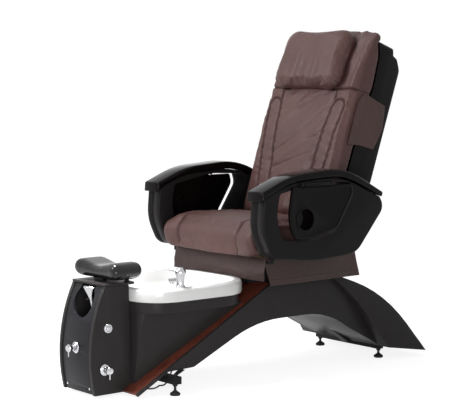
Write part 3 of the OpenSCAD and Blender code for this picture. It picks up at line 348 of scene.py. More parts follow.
def leather_finish(name, colour, lines=None):
    """Soft upholstery leather: pebbled grain, fine creases, slow changes of tone and sewn lines,
    with painted shade in their slits.
    """
    f = Finish(name, Specular_IOR_Level=0.3, Coat_Roughness=0.35, Coat_IOR=1.3)
    pebbles = f.cells(0.0022)
    fine = f.cloud(0.0009, 4)
    creases = f.cloud(0.02, 5, 0.62, f.place((1, 1, 0.45)), 0.8)
    soft = f.cloud(0.05, 3, 0.55, f.place((0.7, 1, 1.2)), 0.4)
    tone = f.cloud(0.16, 3)
    worn = f.cloud(0.035, 4, 0.6)
    height = pebbles * 0.2 + fine * 0.1 + creases * 0.9 + soft * 2.4
    mix = (tone * 0.8 + worn * 0.4 + pebbles * 0.12 - 0.17).clipped()
    body = f.tint(mix, shade(colour, 0.66), shade(colour, 1.36))
    rough = 0.4 + worn * 0.14 + pebbles * 0.08
    if lines:
        apart, along = lines(f)
        slit = apart.within(0.0006, 0.0022)
        turn = along * STITCH_TURN
        beat = turn.math("SINE", turn).within(0.1, 0.2)
        stitch = abs(apart - STITCH_AWAY).within(0.0004, 0.0008) * beat
        height = height - slit * 1.4 + stitch * 0.25 - apart.within(0.002, 0.009) * 0.6
        # Painted shade: the seam's slit is darkened almost to black, standing for the shadow inside
        # the groove
        body = f.tint(slit * 0.8, body, shade(colour, 0.16))
        body = f.tint(stitch * 0.75, body, shade(colour, 0.5))
        rough = rough + slit * 0.2
    f.relief(height, 0.0024, 0.7)
    f.set(Base_Color=body, Roughness=rough, Coat_Weight=0.15)
    return f.material


def satin_finish(name, colour, rough=0.36, grain=0.0011, sheen=0.08):
    """A painted or moulded surface with very fine orange peel and faint handling marks."""
    f = Finish(name, Specular_IOR_Level=sheen)
    peel = f.cloud(grain, 3)
    marks = f.cloud(0.06, 4, 0.6)
    f.relief(peel, 0.00012, 0.5)
    f.set(Base_Color=f.tint(marks, shade(colour, 0.85), shade(colour, 1.2)),
          Roughness=rough - 0.05 + marks * 0.1)
    return f.material


def gloss_finish(name, colour, rough=0.09, shine=0.04):
    """Polished moulded plastic under a clear coat, with faint waviness and wiping marks."""
    f = Finish(name, Specular_IOR_Level=shine, Coat_Roughness=0.04, Coat_IOR=1.2)
    wave = f.cloud(0.03, 2)
    wiped = f.cloud(0.012, 5, 0.65)
    f.relief(wave, 0.0006, 0.25)
    f.set(Base_Color=f.tint(wave, shade(colour, 0.9), shade(colour, 1.1)),
          Roughness=rough + wiped * 0.08, Coat_Weight=0.45)
    return f.material


def wood_finish(name, colour):
    """Lacquered mahogany: long grain up the deck's slope, pores and darker bands."""
    f = Finish(name, Specular_IOR_Level=0.3, Coat_Roughness=0.12, Coat_IOR=1.35)
    slope = (-DECK_SLOPE, 0, 0)
    along = f.place((1, 0.06, 1), slope)
    bands = f.cloud(0.028, 4, 0.55, along, 0.8)
    fibres = f.cloud(0.0035, 4, 0.6, along)
    pores = f.cloud(0.0012, 2, 0.5, f.place((1, 0.03, 1), slope))
    grain = (bands * 0.75 + fibres * 0.45 - 0.1).clipped()
    body = f.node("ShaderNodeValToRGB", {"stops": [
        (0.28, shade(colour, 0.42)), (0.5, colour), (0.74, shade(colour, 1.45))]}, [grain])
    f.relief(pores + fibres * 0.5, 0.00018, 0.4)
    f.set(Base_Color=body, Roughness=0.3 + fibres * 0.12, Coat_Weight=0.55)
    return f.material


def acrylic_finish(name, colour):
    """Gloss white acrylic with the least trace of waviness."""
    f = Finish(name, Specular_IOR_Level=0.5, Coat_Roughness=0.03)
    wave = f.cloud(0.05, 2)
    f.relief(wave, 0.0006, 0.15)
    f.set(Base_Color=f.tint(wave, shade(colour, 0.97), shade(colour, 1.02)),
          Roughness=0.13 + wave * 0.05, Coat_Weight=0.3)
    return f.material


def metal_finish(name, colour, rough=0.08, brushed=False):
    """Polished plate, or turned and brushed steel."""
    f = Finish(name, Metallic=1.0)
    size = 0.0006 if brushed else 0.02
    marks = f.cloud(size, 3, 0.5, f.place((1, 1, 12)) if brushed else None)
    if brushed:
        f.relief(marks, 0.00005, 0.5)
    f.set(Base_Color=f.tint(marks, shade(colour, 0.94), shade(colour, 1.04)),
          Roughness=rough + marks * (0.14 if brushed else 0.05))
    return f.material


def rubber_finish(name, colour):
    """Dull black rubber."""
    f = Finish(name, Specular_IOR_Level=0.3)
    dust = f.cloud(0.01, 4, 0.6)
    f.relief(f.cloud(0.0012, 3), 0.0002, 0.5)
    f.set(Base_Color=f.tint(dust, shade(colour, 0.8), shade(colour, 1.6)),
          Roughness=0.62 + dust * 0.15)
    return f.material


def plywood_finish(name):
    """Raw birch plywood with its layers showing on the edges."""
    f = Finish(name, Specular_IOR_Level=0.3)
    layers = f.cloud(0.0022, 1, 0.4, f.place((0.02, 0.02, 1)))
    grain = f.cloud(0.004, 4, 0.6, f.place((0.05, 1, 1)))
    f.relief(grain, 0.0002, 0.4)
    mix = (layers * 0.6 + grain * 0.5).clipped()
    f.set(Base_Color=f.tint(mix, (0.3, 0.19, 0.09), (0.6, 0.45, 0.28)), Roughness=0.6)
    return f.material


MATERIALS = {}


def make_finishes():
    """Every finish of the chair: one for each slot of the record, and some for single pieces."""
    leather = tuple(bpy.context.scene.chair_upholstery.leather)
    colours = bpy.context.scene.chair_finish
    panel = tuple(colours.panel)
    MATERIALS.update(
        leather=leather_finish("leather", leather),
        leather_back=leather_finish("leather_back", leather, back_lines),
        leather_seat=leather_finish("leather_seat", leather, seat_lines),
        # Side flaps: the same leather darkened to 0.75, a painted shade for the shadowed sides of
        # the back
        leather_flap=leather_finish("leather_flap", shade(leather, 0.75)),
        # Apron and skirts: the seat's leather darkened to 0.43, a painted shade for their place
        # under the seat
        leather_sheet=leather_finish("leather_sheet", shade(leather, 0.43), hem_lines),
        moulded_black=satin_finish("moulded_black", shade(panel, 0.4), 0.4, 0.0011, 0.06),
        gloss_black=gloss_finish("gloss_black", (0.004, 0.0026, 0.0026)),
        pad_black=gloss_finish("pad_black", (0.006, 0.006, 0.0065), 0.05, 0.3),
        satin_black=satin_finish("satin_black", panel),
        graphite=satin_finish("graphite", tuple(colours.tower), 0.34, 0.0011, 0.13),
        mahogany=wood_finish("mahogany", tuple(colours.wood)),
        plywood=plywood_finish("plywood"),
        basin_white=acrylic_finish("basin_white", tuple(colours.basin)),
        chrome=metal_finish("chrome", (0.5, 0.5, 0.52)),
        frame_steel=satin_finish("frame_steel", (0.016, 0.016, 0.017), 0.45, 0.0016),
        foot_rubber=rubber_finish("foot_rubber", (0.014, 0.014, 0.014)),
        machine_grey=satin_finish("machine_grey", (0.055, 0.056, 0.06), 0.5, 0.0014),
        bright_steel=metal_finish("bright_steel", (0.6, 0.6, 0.61), 0.2, True),
        cast_alloy=metal_finish("cast_alloy", (0.5, 0.5, 0.51), 0.36, True),
    )


# ---- mesh helpers ---------------------------------------------------------------------------


def new_piece(name, shape, slot, body, smooth_angle=35, finish=None):
    """An object from a bmesh, finished, shaded and riding on a body."""
    mesh = bpy.data.meshes.new(name)
    shape.to_mesh(mesh)
    shape.free()
    mesh.materials.append(MATERIALS[finish or slot])
    for face in mesh.polygons:
        face.use_smooth = True
        face.material_index = 0
    mesh.set_sharp_from_angle(angle=math.radians(smooth_angle))
    piece = bpy.data.objects.new(name, mesh)
    bpy.context.scene.collection.objects.link(piece)
    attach(piece, body)
    return piece


def copied(node):
    """A bmesh of a CAD solid with its doubles merged and its flat faces joined."""
    shape = bmesh.new()
    shape.from_mesh(NODES[node].data)
    bmesh.ops.remove_doubles(shape, verts=shape.verts, dist=2e-5)
    bmesh.ops.dissolve_degenerate(shape, edges=shape.edges, dist=2e-5)
    bmesh.ops.dissolve_limit(shape, angle_limit=math.radians(0.6), verts=shape.verts,
                             edges=shape.edges, delimit={"NORMAL"})
    return shape


def break_edges(shape, width, angle, segments):
    """Rounds the sharp edges of a shape."""
    limit = math.radians(angle)
    sharp = [edge for edge in shape.edges
             if len(edge.link_faces) == 2 and edge.calc_face_angle(0) > limit]
    if sharp:
        bmesh.ops.bevel(shape, geom=sharp, offset=width, offset_type="OFFSET", segments=segments,
                        profile=0.5, affect="EDGES", clamp_overlap=True, material=-1)


def dress(node, width=None, segments=2, angle=32, smooth_angle=35, shaped=None, finish=None):
    """A CAD part with broken edges, in its own finish, in place of the plain one."""
    if width is None:
        width = bpy.context.scene.chair_finish.edge
    shape = copied(node)
    if shaped:
        shaped(shape)
    break_edges(shape, width, angle, segments)
    piece = new_piece(node + "_trim", shape, SLOT_OF[node], BODY_OF[node], smooth_angle, finish)
    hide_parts(node)


def evaluated_mesh(piece):
    """The piece's mesh with its modifiers applied."""
    graph = bpy.context.evaluated_depsgraph_get()
    return bpy.data.meshes.new_from_object(piece.evaluated_get(graph))


def replace_mesh(piece, mesh=None):
    """Gives the piece that mesh, or its own with every modifier applied."""
    if mesh is None:
        mesh = evaluated_mesh(piece)
    piece.modifiers.clear()
    old = piece.data
    piece.data = mesh
    bpy.data.meshes.remove(old)


def remeshed(shape, name, voxel, shrink=0.0, where=lambda point: 1.0, softer=3):
    """A working object with an even mesh over a closed shape, drawn in by shrink times where."""
    mesh = bpy.data.meshes.new(name)
    shape.to_mesh(mesh)
    shape.free()
    piece = bpy.data.objects.new(name, mesh)
    bpy.context.scene.collection.objects.link(piece)
    grid = piece.modifiers.new("grid", "REMESH")
    grid.mode = "VOXEL"
    grid.voxel_size = voxel
    replace_mesh(piece)
    even = bmesh.new()
    even.from_mesh(piece.data)
    for _ in range(softer):
        bmesh.ops.smooth_vert(even, verts=even.verts, factor=0.5,
                              use_axis_x=True, use_axis_y=True, use_axis_z=True)
    even.normal_update()
    if shrink:
        steps = [vert.normal * shrink * where(vert.co) for vert in even.verts]
        for vert, step in zip(even.verts, steps):
            vert.co -= step
    even.to_mesh(piece.data)
    even.free()
    return piece


def inflate(piece, pressure, cap, free=lambda point: 1.0):
    """Swells a closed piece with a short cloth run. No point moves further than cap times free."""
    start = [vert.co.copy() for vert in piece.data.vertices]
    cloth = piece.modifiers.new("swell", "CLOTH")
    how = cloth.settings
    how.quality = 4
    how.mass = 0.4
    how.use_pressure = True
    how.uniform_pressure_force = pressure
    how.tension_stiffness = 18
    how.compression_stiffness = 18
    how.shear_stiffness = 6
    how.bending_stiffness = 0.6
    how.effector_weights.gravity = 0
    cloth.collision_settings.use_collision = False
    cloth.point_cache.frame_start = 1
    cloth.point_cache.frame_end = CLOTH_FRAMES
    scene = bpy.context.scene
    for step in range(1, CLOTH_FRAMES + 1):
        scene.frame_set(step)
    mesh = evaluated_mesh(piece)
    for vert, before in zip(mesh.vertices, start):
        move = vert.co - before
        limit = cap * free(before)
        if move.length > limit:
            move = move.normalized() * limit
        vert.co = before + move
    replace_mesh(piece, mesh)
    scene.frame_set(1)


def refined(piece):
    """The padded piece's mesh after one subdivision, ready for its seams and folds."""
    finer = piece.modifiers.new("finer", "SUBSURF")
    finer.levels = 1
    finer.render_levels = 1
    replace_mesh(piece)
    shape = bmesh.new()
    shape.from_mesh(piece.data)
    old = piece.data
    bpy.data.objects.remove(piece)
    bpy.data.meshes.remove(old)
    shape.normal_update()
    return shape


def sculpt(shape, move):
    """Moves every point of a shape along its normal by what move says of its place and normal."""
    shape.normal_update()
    shift = [(vert, vert.normal * move(vert.co, vert.normal)) for vert in shape.verts]
    for vert, step in shift:
        vert.co += step
    shape.normal_update()
    return shape


def folds(point, size, stretch=(1, 1, 1), seed=0.0):
    """Soft irregular ridges, at most 1 high and about size metres apart."""
    place = Vector([along * pull for along, pull in zip(point, stretch)]) / size
    value = noise.noise(place + Vector((seed, seed * 1.7, seed * 2.3)))
    return 1 - abs(value) * 2


# ---- hard parts -----------------------------------------------------------------------------


class CHAIR_OT_base(bpy.types.Operator):
    """Dresses the arched base with its panels, deck, fender, feet, seat pedestal and cable"""

    bl_idname = "chair.base"
    bl_label = "Arched Base"

    def execute(self, context):
        for node in ("side_panel_left", "side_panel_right"):
            dress(node, 0.0022, 3, shaped=raised_rear)
        dress("wood_deck", 0.0012)
        dress("soffit_panel", 0.004, 3, shaped=raised_rear)
        dress("rear_fender", 0.003, 3, shaped=raised_rear)
        dress("base_frame", 0.002)
        dress("front_beam", 0.003, 3)
        dress("levelling_feet", 0.0008)
        dress("seat_pedestal", 0.001)
        cable()
        return {"FINISHED"}


def raised_rear(shape):
    """Lifts the lower edge of the base's rear end, so that the feet show under it."""
    for vert in shape.verts:
        over_feet = ease(vert.co.y, 0.45, 0.56) * (1 - ease(vert.co.y, 0.6, 0.81))
        vert.co.z += 0.032 * over_feet * (1 - ease(vert.co.z, 0.03, 0.16))


def under_deck(y, below=0.0):
    """Height at y of the cable under the deck board, in millimetres."""
    # The height of the deck's top at y = 0, and how far the cable lies under it, square to it
    rise, sunk = 368, 21.3
    return rise + y * math.tan(DECK_SLOPE) - sunk / math.cos(DECK_SLOPE) - below


def cable():
    """The pump's cable: out of the deck, a loop under the front beam, then up under the deck."""
    route = []
    for step in range(11):
        turn = math.radians(15 * step)
        route.append((150 + 8 * math.sin(turn), -540 - 34 * math.cos(turn),
                      under_deck(-574, 2 + 10 * math.sin(turn))))
    route += [(150, -482, 25), (146, -462, 36), (141, -444, 60), (136, -428, 88)]
    route += [(100 - y / 13, y, under_deck(y)) for y in (-410, -380, -290, -190, -95)]
    route = [Vector(point) / 1000 for point in route]
    line = bpy.data.curves.new("pump_cable_line", "CURVE")
    line.dimensions = "3D"
    line.bevel_depth = 0.003
    line.bevel_resolution = 4
    line.resolution_u = 6
    line.use_fill_caps = True
    spline = line.splines.new("BEZIER")
    spline.bezier_points.add(len(route) - 1)
    for knot, point in zip(spline.bezier_points, route):
        knot.co = point
        knot.handle_left_type = knot.handle_right_type = "AUTO"
    line.materials.append(MATERIALS["foot_rubber"])
    piece = bpy.data.objects.new("pump_cable_line", line)
    bpy.context.scene.collection.objects.link(piece)
    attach(piece, "base")
    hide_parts("pump_cable")


class CHAIR_OT_basin(bpy.types.Operator):
    """Dresses the foot basin, its tub, the strainer, the jet and the faucet"""

    bl_idname = "chair.basin"
    bl_label = "Foot Basin"

    def execute(self, context):
        dress("basin_bowl", 0.0015, 2, 50, 50)
        dress("basin_flange", 0.003, 3)
        dress("tub_shell", 0.004, 3, 24)
        for node in ("drain_strainer", "jet_cover"):
            dress(node, 0.0008)
        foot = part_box("faucet_body")[0].z
        for node in ("faucet_body", "faucet_lever"):
            dress(node, 0.0012, 3, shaped=lambda shape: fuller(shape, foot))
        dress("jet_pump", 0.002)
        return {"FINISHED"}


def fuller(shape, foot):
    """Makes the faucet's castings fuller round their own upright axis."""
    for vert in shape.verts:
        grow = 1 + 0.22 * ease(vert.co.z, foot + 0.02, foot + 0.05)
        for axis, middle in enumerate(FAUCET_AXIS):
            vert.co[axis] = middle + (vert.co[axis] - middle) * grow


class CHAIR_OT_tower(bpy.types.Operator):
    """Dresses the tap tower with its valves, button, sprayer and screws"""

    bl_idname = "chair.tower"
    bl_label = "Tap Tower"

    def execute(self, context):
        for node in ("tower_side_left", "tower_side_right"):
            dress(node, 0.0025, 3)
        dress("tower_front", 0.0018, 3)
        dress("tower_top", 0.0022, 3)
        dress("tower_base")
        dress("sprayer_holder", 0.001)
        for node in ("sprayer", "front_valve_body", "front_valve_handle", "side_valve_body",
                     "side_valve_handle", "button_bezel", "air_button"):
            dress(node, 0.0007)
        dress("tower_screws", 0.0003)
        return {"FINISHED"}


class CHAIR_OT_footrest(bpy.types.Operator):
    """Dresses the swivelling footrest and pads it"""

    bl_idname = "chair.footrest"
    bl_label = "Footrest"

    def execute(self, context):
        dress("footrest_hub", 0.0008)
        dress("footrest_bracket", 0.001)
        pad = remeshed(copied("footrest_pad"), "pad_work", 0.005, softer=20)
        inflate(pad, 3, 0.003)
        shape = refined(pad)
        piece = new_piece("footrest_pad_skin", shape, "pad_black", "footrest", 180)
        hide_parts("footrest_pad")
        return {"FINISHED"}


class CHAIR_OT_mechanism(bpy.types.Operator):
    """Finishes the hidden works: seat frame, drive, massage unit and pins"""

    bl_idname = "chair.mechanism"
    bl_label = "Mechanism"

    def execute(self, context):
        for node in ("seat_frame", "seat_board", "hinge_pins", "recline_actuator", "actuator_rod",
                     "back_frame", "massage_motor", "massage_carriage", "lead_screw",
                     "massage_rollers", "tray_hinge_left", "tray_hinge_right"):
            dress(node, 0.0008)
        return {"FINISHED"}


class CHAIR_OT_arms(bpy.types.Operator):
    """Dresses both arms: shells, gloss caps and trays"""

    bl_idname = "chair.arms"
    bl_label = "Arms"

    def execute(self, context):
        for side in ("left", "right"):
            dress("arm_shell_" + side, 0.006, 4, 40, 60, front_groove, "moulded_black")
            dress("arm_cap_" + side, 0.0025, 3, 50, 60, tail_down)
            dress("tray_" + side, 0.003, 4)
        return {"FINISHED"}


def divide(shape, place, normal):
    """Adds edges where a plane meets the shape."""
    bmesh.ops.bisect_plane(shape, geom=shape.verts[:] + shape.edges[:] + shape.faces[:],
                           plane_co=place, plane_no=normal, dist=1e-6)


def tail_down(shape):
    """Bends the cap's rear end down onto the shell."""
    for vert in shape.verts:
        vert.co.z -= 0.011 * ease(vert.co.y, 0.385, 0.44)


def front_groove(shape):
    """Cuts the groove that runs down the middle of an arm shell's front."""
    xs = [vert.co.x for vert in shape.verts]
    middle = (min(xs) + max(xs)) / 2
    for step in (-0.0042, -0.0016, 0.0016, 0.0042):
        divide(shape, (middle + step, 0, 0), (1, 0, 0))
    for vert in shape.verts:
        if abs(vert.co.x - middle) < 0.002 and vert.co.y < -0.02 and vert.co.z < 0.735:
            inward = Vector((0, 0.1, 0.62)) - Vector((0, vert.co.y, vert.co.z))
            if inward.length > 0.19 or vert.co.z < 0.5:
                vert.co += inward.normalized() * 0.006


# ---- soft parts -----------------------------------------------------------------------------


class CHAIR_OT_seat(bpy.types.Operator):
    """Pads the seat cushion, with its side seams and front edge"""

    bl_idname = "chair.seat"
    bl_label = "Seat Cushion"

    def execute(self, context):
        settings = context.scene.chair_upholstery
        low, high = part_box("seat_cushion")
        floor = low.z + 0.002

        def open_air(point):
            beside = ease(high.x - abs(point.x), 0.004, 0.03)
            before = ease(SEAT_SWELL_END - point.y, 0, 0.04)
            return beside * ease(point.z, floor, floor + 0.03) * before

        plain = copied("seat_cushion")
        for vert in plain.verts:
            side = between(abs(vert.co.x), (0, CAD_SEAT_SEAM, high.x), (0, SEAT_SEAM, high.x))
            vert.co.x = math.copysign(side, vert.co.x)
            vert.co.y += 0.012 * ease(vert.co.y, 0.15, high.y)
        work = remeshed(plain, "seat_work", 0.007, 0.003, open_air, 5)
        inflate(work, 4, settings.swell + 0.008, open_air)

        def tailored(point, normal):
            side = abs(point.x)
            inner = ease(0.19 - side, -0.01, 0.02)
            seam = bump(side, SEAT_SEAM, 0.0048) * ease(point.z, floor + 0.012, floor + 0.03)
            welt = bump(point.z, floor + 0.014, 0.006) * 0.35 * ease(-point.y, 0, 0.1)
            beside = bump(side, SEAT_SEAM, 0.022)
            gather = math.sin(point.y * 150 + noise.noise(point * 9) * 6) * beside
            slack = folds(point, 0.12, (0.7, 1.6, 1.2), 3.1) - 0.4
            slant = (point.x, point.y - point.x * 0.5, point.z)
            crease = max(folds(slant, 0.13, (0.6, 1.7, 0.6), 8.4) - 0.55, 0)
            crown = ease(normal.z, 0.3, 0.8) * math.cos(min(side / SEAT_SEAM, 1) * math.pi / 2)
            sewn = -seam * settings.seam_depth * 0.6 - welt * settings.seam_depth + 0.003 * crown
            loose = 0.4 * slack * (0.4 + 0.6 * inner) + 0.3 * gather - 0.5 * crease * inner
            return ease(high.x - side, 0.004, 0.02) * (sewn + settings.wrinkle * loose)

        shape = sculpt(refined(work), tailored)
        for vert in shape.verts:
            vert.co.z = max(vert.co.z, floor)
        piece = new_piece("seat_cushion_leather", shape, "leather", "seat", 180, "leather_seat")
        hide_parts("seat_cushion")
        return {"FINISHED"}


def channel(across, up):
    """Distance from the sewn line of a side channel: up both its sides and round its top."""
    out = abs(across) - CHANNEL_MIDDLE - up * CHANNEL_LEAN
    return abs(math.hypot(out, max(up - CHANNEL_TOP, 0)) - CHANNEL_WIDTH / 2)


def between(x, places, moved):
    """Moves x as its neighbours in places move, in even steps between them."""
    step = 0
    while x > places[step + 1] and step < len(places) - 2:
        step += 1
    share = (x - places[step]) / (places[step + 1] - places[step])
    return moved[step] + share * (moved[step + 1] - moved[step])


class CHAIR_OT_back(bpy.types.Operator):
    """Pads the back cushion with its sewn channels and soft diagonal folds"""

    bl_idname = "chair.back"
    bl_label = "Back Cushion"

    def execute(self, context):
        settings = context.scene.chair_upholstery
        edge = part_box("back_cushion")[1].x

        def open_air(point):
            across, forward, up = on_back(point)
            front = ease(forward, 0.09, 0.13) * (0.6 + 0.4 * ease(edge - abs(across), 0.0, 0.02))
            return max(front, ease(up, 0.86, 0.88) * ease(forward, 0.07, 0.1) * 0.5)

        plain = copied("back_cushion")
        for vert in plain.verts:
            across, forward, up = on_back(vert.co)
            middle = CHANNEL_MIDDLE + CHANNEL_LEAN * min(up, 0.6)
            lanes = (0, middle - CHANNEL_WIDTH / 2, middle + CHANNEL_WIDTH / 2, edge)
            side = between(abs(across), (0, *CAD_CHANNEL, edge), lanes)
            corner = ease(side, 0.19, edge) * ease(up, 0.84, 0.885)
            foot = 1 - ease(up, 0.08, 0.2)
            if forward > 0.06:
                up -= 0.012 * corner + 0.02 * foot
                vert.co = off_back(math.copysign(side, across), forward, up)
        work = remeshed(plain, "back_work", 0.007, 0.001, open_air, 4)
        inflate(work, 4, settings.swell + 0.004, open_air)

        def tailored(point, normal):
            across, forward, up = on_back(point)
            side = abs(across)
            faces_front = ease(normal.dot(BACK_FRONT), 0.2, 0.55) * ease(forward, 0.07, 0.1)
            low_end = ease(up, 0.1, 0.16)
            line = channel(across, up)
            tail = bump(side, TAIL, 0.0042) * ease(up, 0.555, 0.57)
            seams = max(
                bump(line, 0, 0.0042) * low_end,
                tail * ease(YOKE + 0.004 - up, 0, 0.008),
                bump(up, YOKE + YOKE_LEAN * (side - 0.2), 0.0045) * ease(side, 0.125, 0.14))
            panel = CHANNEL_MIDDLE + CHANNEL_LEAN * up - CHANNEL_WIDTH / 2
            inner = ease(panel - side, 0, 0.03) * ease(YOKE - up, 0, 0.04)
            bolster = ease(side, panel, panel + 0.02)
            run = (across * 0.84 + up * 0.54, 0, up * 0.84 - across * 0.54)
            broad = folds(run, 0.105, (0.4, 1, 1.25), 7.3) - 0.45
            sharp = max(folds(run, 0.075, (0.3, 1, 1.1), 2.9) - 0.6, 0)
            slack = folds(point, 0.09, (1, 1, 0.8), 1.9) - 0.45
            near_tail = bump(side, TAIL, 0.018) * ease(up, 0.52, 0.56)
            near_seam = bump(line, 0, 0.02) * low_end + near_tail * 0.5
            gather = math.sin(up * 150 + across * 30 + noise.noise(point * 10) * 7) * near_seam
            pucker = bump(side, panel, 0.03) * bump(up, 0.285, 0.03)
            crown = math.cos(min(side / panel, 1) * math.pi / 2) * ease(up, 0.1, 0.25)
            plain_top = ease(up, CHANNEL_TOP + 0.03, YOKE) * (
                bump(side, panel + CHANNEL_WIDTH, 0.013) + bump(side, panel, 0.013))
            sewn = 0.004 * (crown + plain_top - pucker) - seams * settings.seam_depth * 1.15
            loose = (1.5 * broad * inner - 1.6 * sharp * inner
                     + 0.55 * slack * (0.4 + 0.6 * bolster) + 0.38 * gather)
            return faces_front * (sewn + settings.wrinkle * loose)

        shape = sculpt(refined(work), tailored)
        for vert in shape.verts:
            vert.co.x = min(max(vert.co.x, -edge - 0.007), edge + 0.007)
        piece = new_piece("back_cushion_leather", shape, "leather", "back", 180, "leather_back")
        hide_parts("back_cushion")
        return {"FINISHED"}


class CHAIR_OT_pillow(bpy.types.Operator):
    """Pads the head pillow, gathered at its lower middle"""

    bl_idname = "chair.pillow"
    bl_label = "Head Pillow"

    def execute(self, context):
        settings = context.scene.chair_upholstery
        plain = copied("head_pillow")
        for vert in plain.verts:
            across, forward, up = on_back(vert.co)
            rise = ease(up, 0.6, 0.86)
            up += 0.014 * rise - 0.016 * (1 - rise)
            vert.co = off_back(across * 1.035 - 0.008, forward + 0.004, up)
        work = remeshed(plain, "pillow_work", 0.006, 0.002)

        def open_air(point):
            return ease(on_back(point)[1], 0.14, 0.16)

        inflate(work, 5, settings.swell + 0.006, open_air)

        def tailored(point, normal):
            across, _, up = on_back(point)
            face = ease(normal.dot(BACK_FRONT), 0.1, 0.5)
            low_middle = bump(across, -0.02, 0.09) * bump(up, 0.67, 0.045) * ease(up, 0.61, 0.65)
            pleat = math.sin(across * 140 + noise.noise(Vector((across * 12, 0, up * 2))) * 4)
            slack = folds(point, 0.1, (1, 1, 1), 5.2) - 0.45
            beside, over = max(abs(across) - 0.15, 0), max(abs(up - PILLOW_MIDDLE) - 0.085, 0)
            rim = math.hypot(beside / 0.045, over / 0.045)
            welt = bump(rim, 1.0, 0.09) * ease(normal.dot(BACK_FRONT), -0.1, 0.2)
            corner = bump(abs(across), 0.17, 0.04) * bump(up, 0.63, 0.03)
            tuck = math.sin((across + up) * 210 + noise.noise(point * 15) * 3) * corner
            loose = face * (0.75 * pleat * low_middle + 0.5 * slack)
            return settings.wrinkle * (loose + 0.5 * tuck - 0.45 * welt)

        shape = sculpt(refined(work), tailored)
        piece = new_piece("head_pillow_leather", shape, "leather", "back", 180)
        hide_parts("head_pillow")
        return {"FINISHED"}


def islands(shape):
    """The separate closed parts of a shape, each as its own bmesh."""
    left = set(shape.verts)
    parts = []
    while left:
        start = min(left, key=lambda vert: vert.index)
        found, ahead = {start}, [start]
        while ahead:
            vert = ahead.pop()
            for edge in vert.link_edges:
                other = edge.other_vert(vert)
                if other not in found:
                    found.add(other)
                    ahead.append(other)
        left -= found
        part = shape.copy()
        keep = {vert.index for vert in found}
        others = [vert for vert in part.verts if vert.index not in keep]
        bmesh.ops.delete(part, geom=others, context="VERTS")
        parts.append(part)
    shape.free()
    return parts


def leather_band(shape, name, body, flow):
    """A leather sheet from a plain band: finely divided, flowing, with rounded edges."""
    shape.verts.index_update()
    break_edges(shape, 0.0009, 45, 2)
    for axis in range(3):
        low = min(vert.co[axis] for vert in shape.verts)
        high = max(vert.co[axis] for vert in shape.verts)
        count = int((high - low) / SHEET_GRID)
        normal = Vector((0, 0, 0))
        normal[axis] = 1
        for step in range(1, count):
            divide(shape, normal * (low + (high - low) * step / count), normal)
    for vert in shape.verts:
        vert.co += flow(vert.co)
    shape.normal_update()
    # The sheet takes the darkened copy of the leather, a painted shade
    piece = new_piece(name, shape, "leather_sheet", body, 60)
    return piece


class CHAIR_OT_sheets(bpy.types.Operator):
    """Hangs the apron and skirts round the seat and lays the flaps on the back's shell"""

    bl_idname = "chair.sheets"
    bl_label = "Leather Sheets"

    def execute(self, context):
        low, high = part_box("front_apron")

        def apron_flow(at):
            drop = min(max((high.z - at.z) / (high.z - low.z), 0), 1)
            wave = math.sin(at.x * 21 + 0.6) * 0.0016
            wave += noise.noise(Vector((at.x * 9, 0, at.z * 16))) * 0.003
            wider = math.copysign(0.008 * ease(abs(at.x), 0.24, 0.276), at.x)
            return Vector((wider, (wave - 0.003) * drop - 0.009 * drop ** 2.2, 0.0045 * drop))

        apron = leather_band(copied("front_apron"), "front_apron_leather", "seat", apron_flow)
        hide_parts("front_apron")

        def hanging(at):
            return min(max((BOARD_TOP - at.z) / SKIRT_DROP, 0), 1)

        def skirt_flow(at):
            drop = hanging(at)
            wave = noise.noise(Vector((at.y * 8, at.z * 12, 4.2))) * 0.0028
            forward = 0.027 * ease(-at.y, -0.05, 0.07)
            outward = wave * drop + 0.009 * drop ** 2.2
            return Vector((outward if at.x > 0 else -outward, -forward, 0))

        def rear_flow(at):
            wave = noise.noise(Vector((at.x * 7, 2.1, at.z * 10))) * 0.0028
            return Vector((0, wave * hanging(at), 0))

        for part in islands(copied("skirts")):
            xs = [vert.co.x for vert in part.verts]
            middle = abs(max(xs) + min(xs)) < 0.1
            name = "skirt_rear" if middle else "skirt_left" if max(xs) > 0 else "skirt_right"
            piece = leather_band(part, name, "seat", rear_flow if middle else skirt_flow)
            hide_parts("skirts")

        def flap_flow(at):
            return BACK_FRONT * FLAP_FORWARD * ease(on_back(at)[1], -0.03, 0.015)

        for part in islands(copied("side_flaps")):
            left = max(vert.co.x for vert in part.verts) > 0
            name = "side_flap_left" if left else "side_flap_right"
            piece = leather_band(part, name, "back", flap_flow)
            # The flaps wear the darkened copy of the leather, a painted shade
            piece.data.materials[0] = MATERIALS["leather_flap"]
            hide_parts("side_flaps")
        dress("back_shell", 0.002, 2, 40, 50, finish="moulded_black")
        return {"FINISHED"}


# ---- stage ----------------------------------------------------------------------------------


class CHAIR_OT_stage(bpy.types.Operator):
    """Sets the pale floor, the soft lamps, the world and the camera"""

    bl_idname = "chair.stage"
    bl_label = "Floor, Light and Camera"

    def execute(self, context):
        scene = context.scene
        shape = bmesh.new()
        bmesh.ops.create_grid(shape, x_segments=1, y_segments=1, size=14)
        mesh = bpy.data.meshes.new("floor")
        shape.to_mesh(mesh)
        shape.free()
        floor = bpy.data.objects.new("floor", mesh)
        scene.collection.objects.link(floor)
        mesh.materials.append(floor_finish())
        scene.world = bpy.data.worlds.new("studio")
        scene.world.use_nodes = True
        tree = scene.world.node_tree
        tree.nodes.clear()
        strength = tree.nodes.new("ShaderNodeMapRange")
        strength.inputs["To Min"].default_value = FILL_LIGHT
        strength.inputs["To Max"].default_value = 1.0
        tree.links.new(seen_directly(tree), strength.inputs["Value"])
        sky = tree.nodes.new("ShaderNodeBackground")
        sky.inputs["Color"].default_value = (1, 1, 1, 1)
        tree.links.new(strength.outputs[0], sky.inputs["Strength"])
        output = tree.nodes.new("ShaderNodeOutputWorld")
        tree.links.new(sky.outputs[0], output.inputs[0])
        for settings in LAMPS:
            lamp(*settings)
        camera()
        scene.view_settings.view_transform = "Standard"
        return {"FINISHED"}


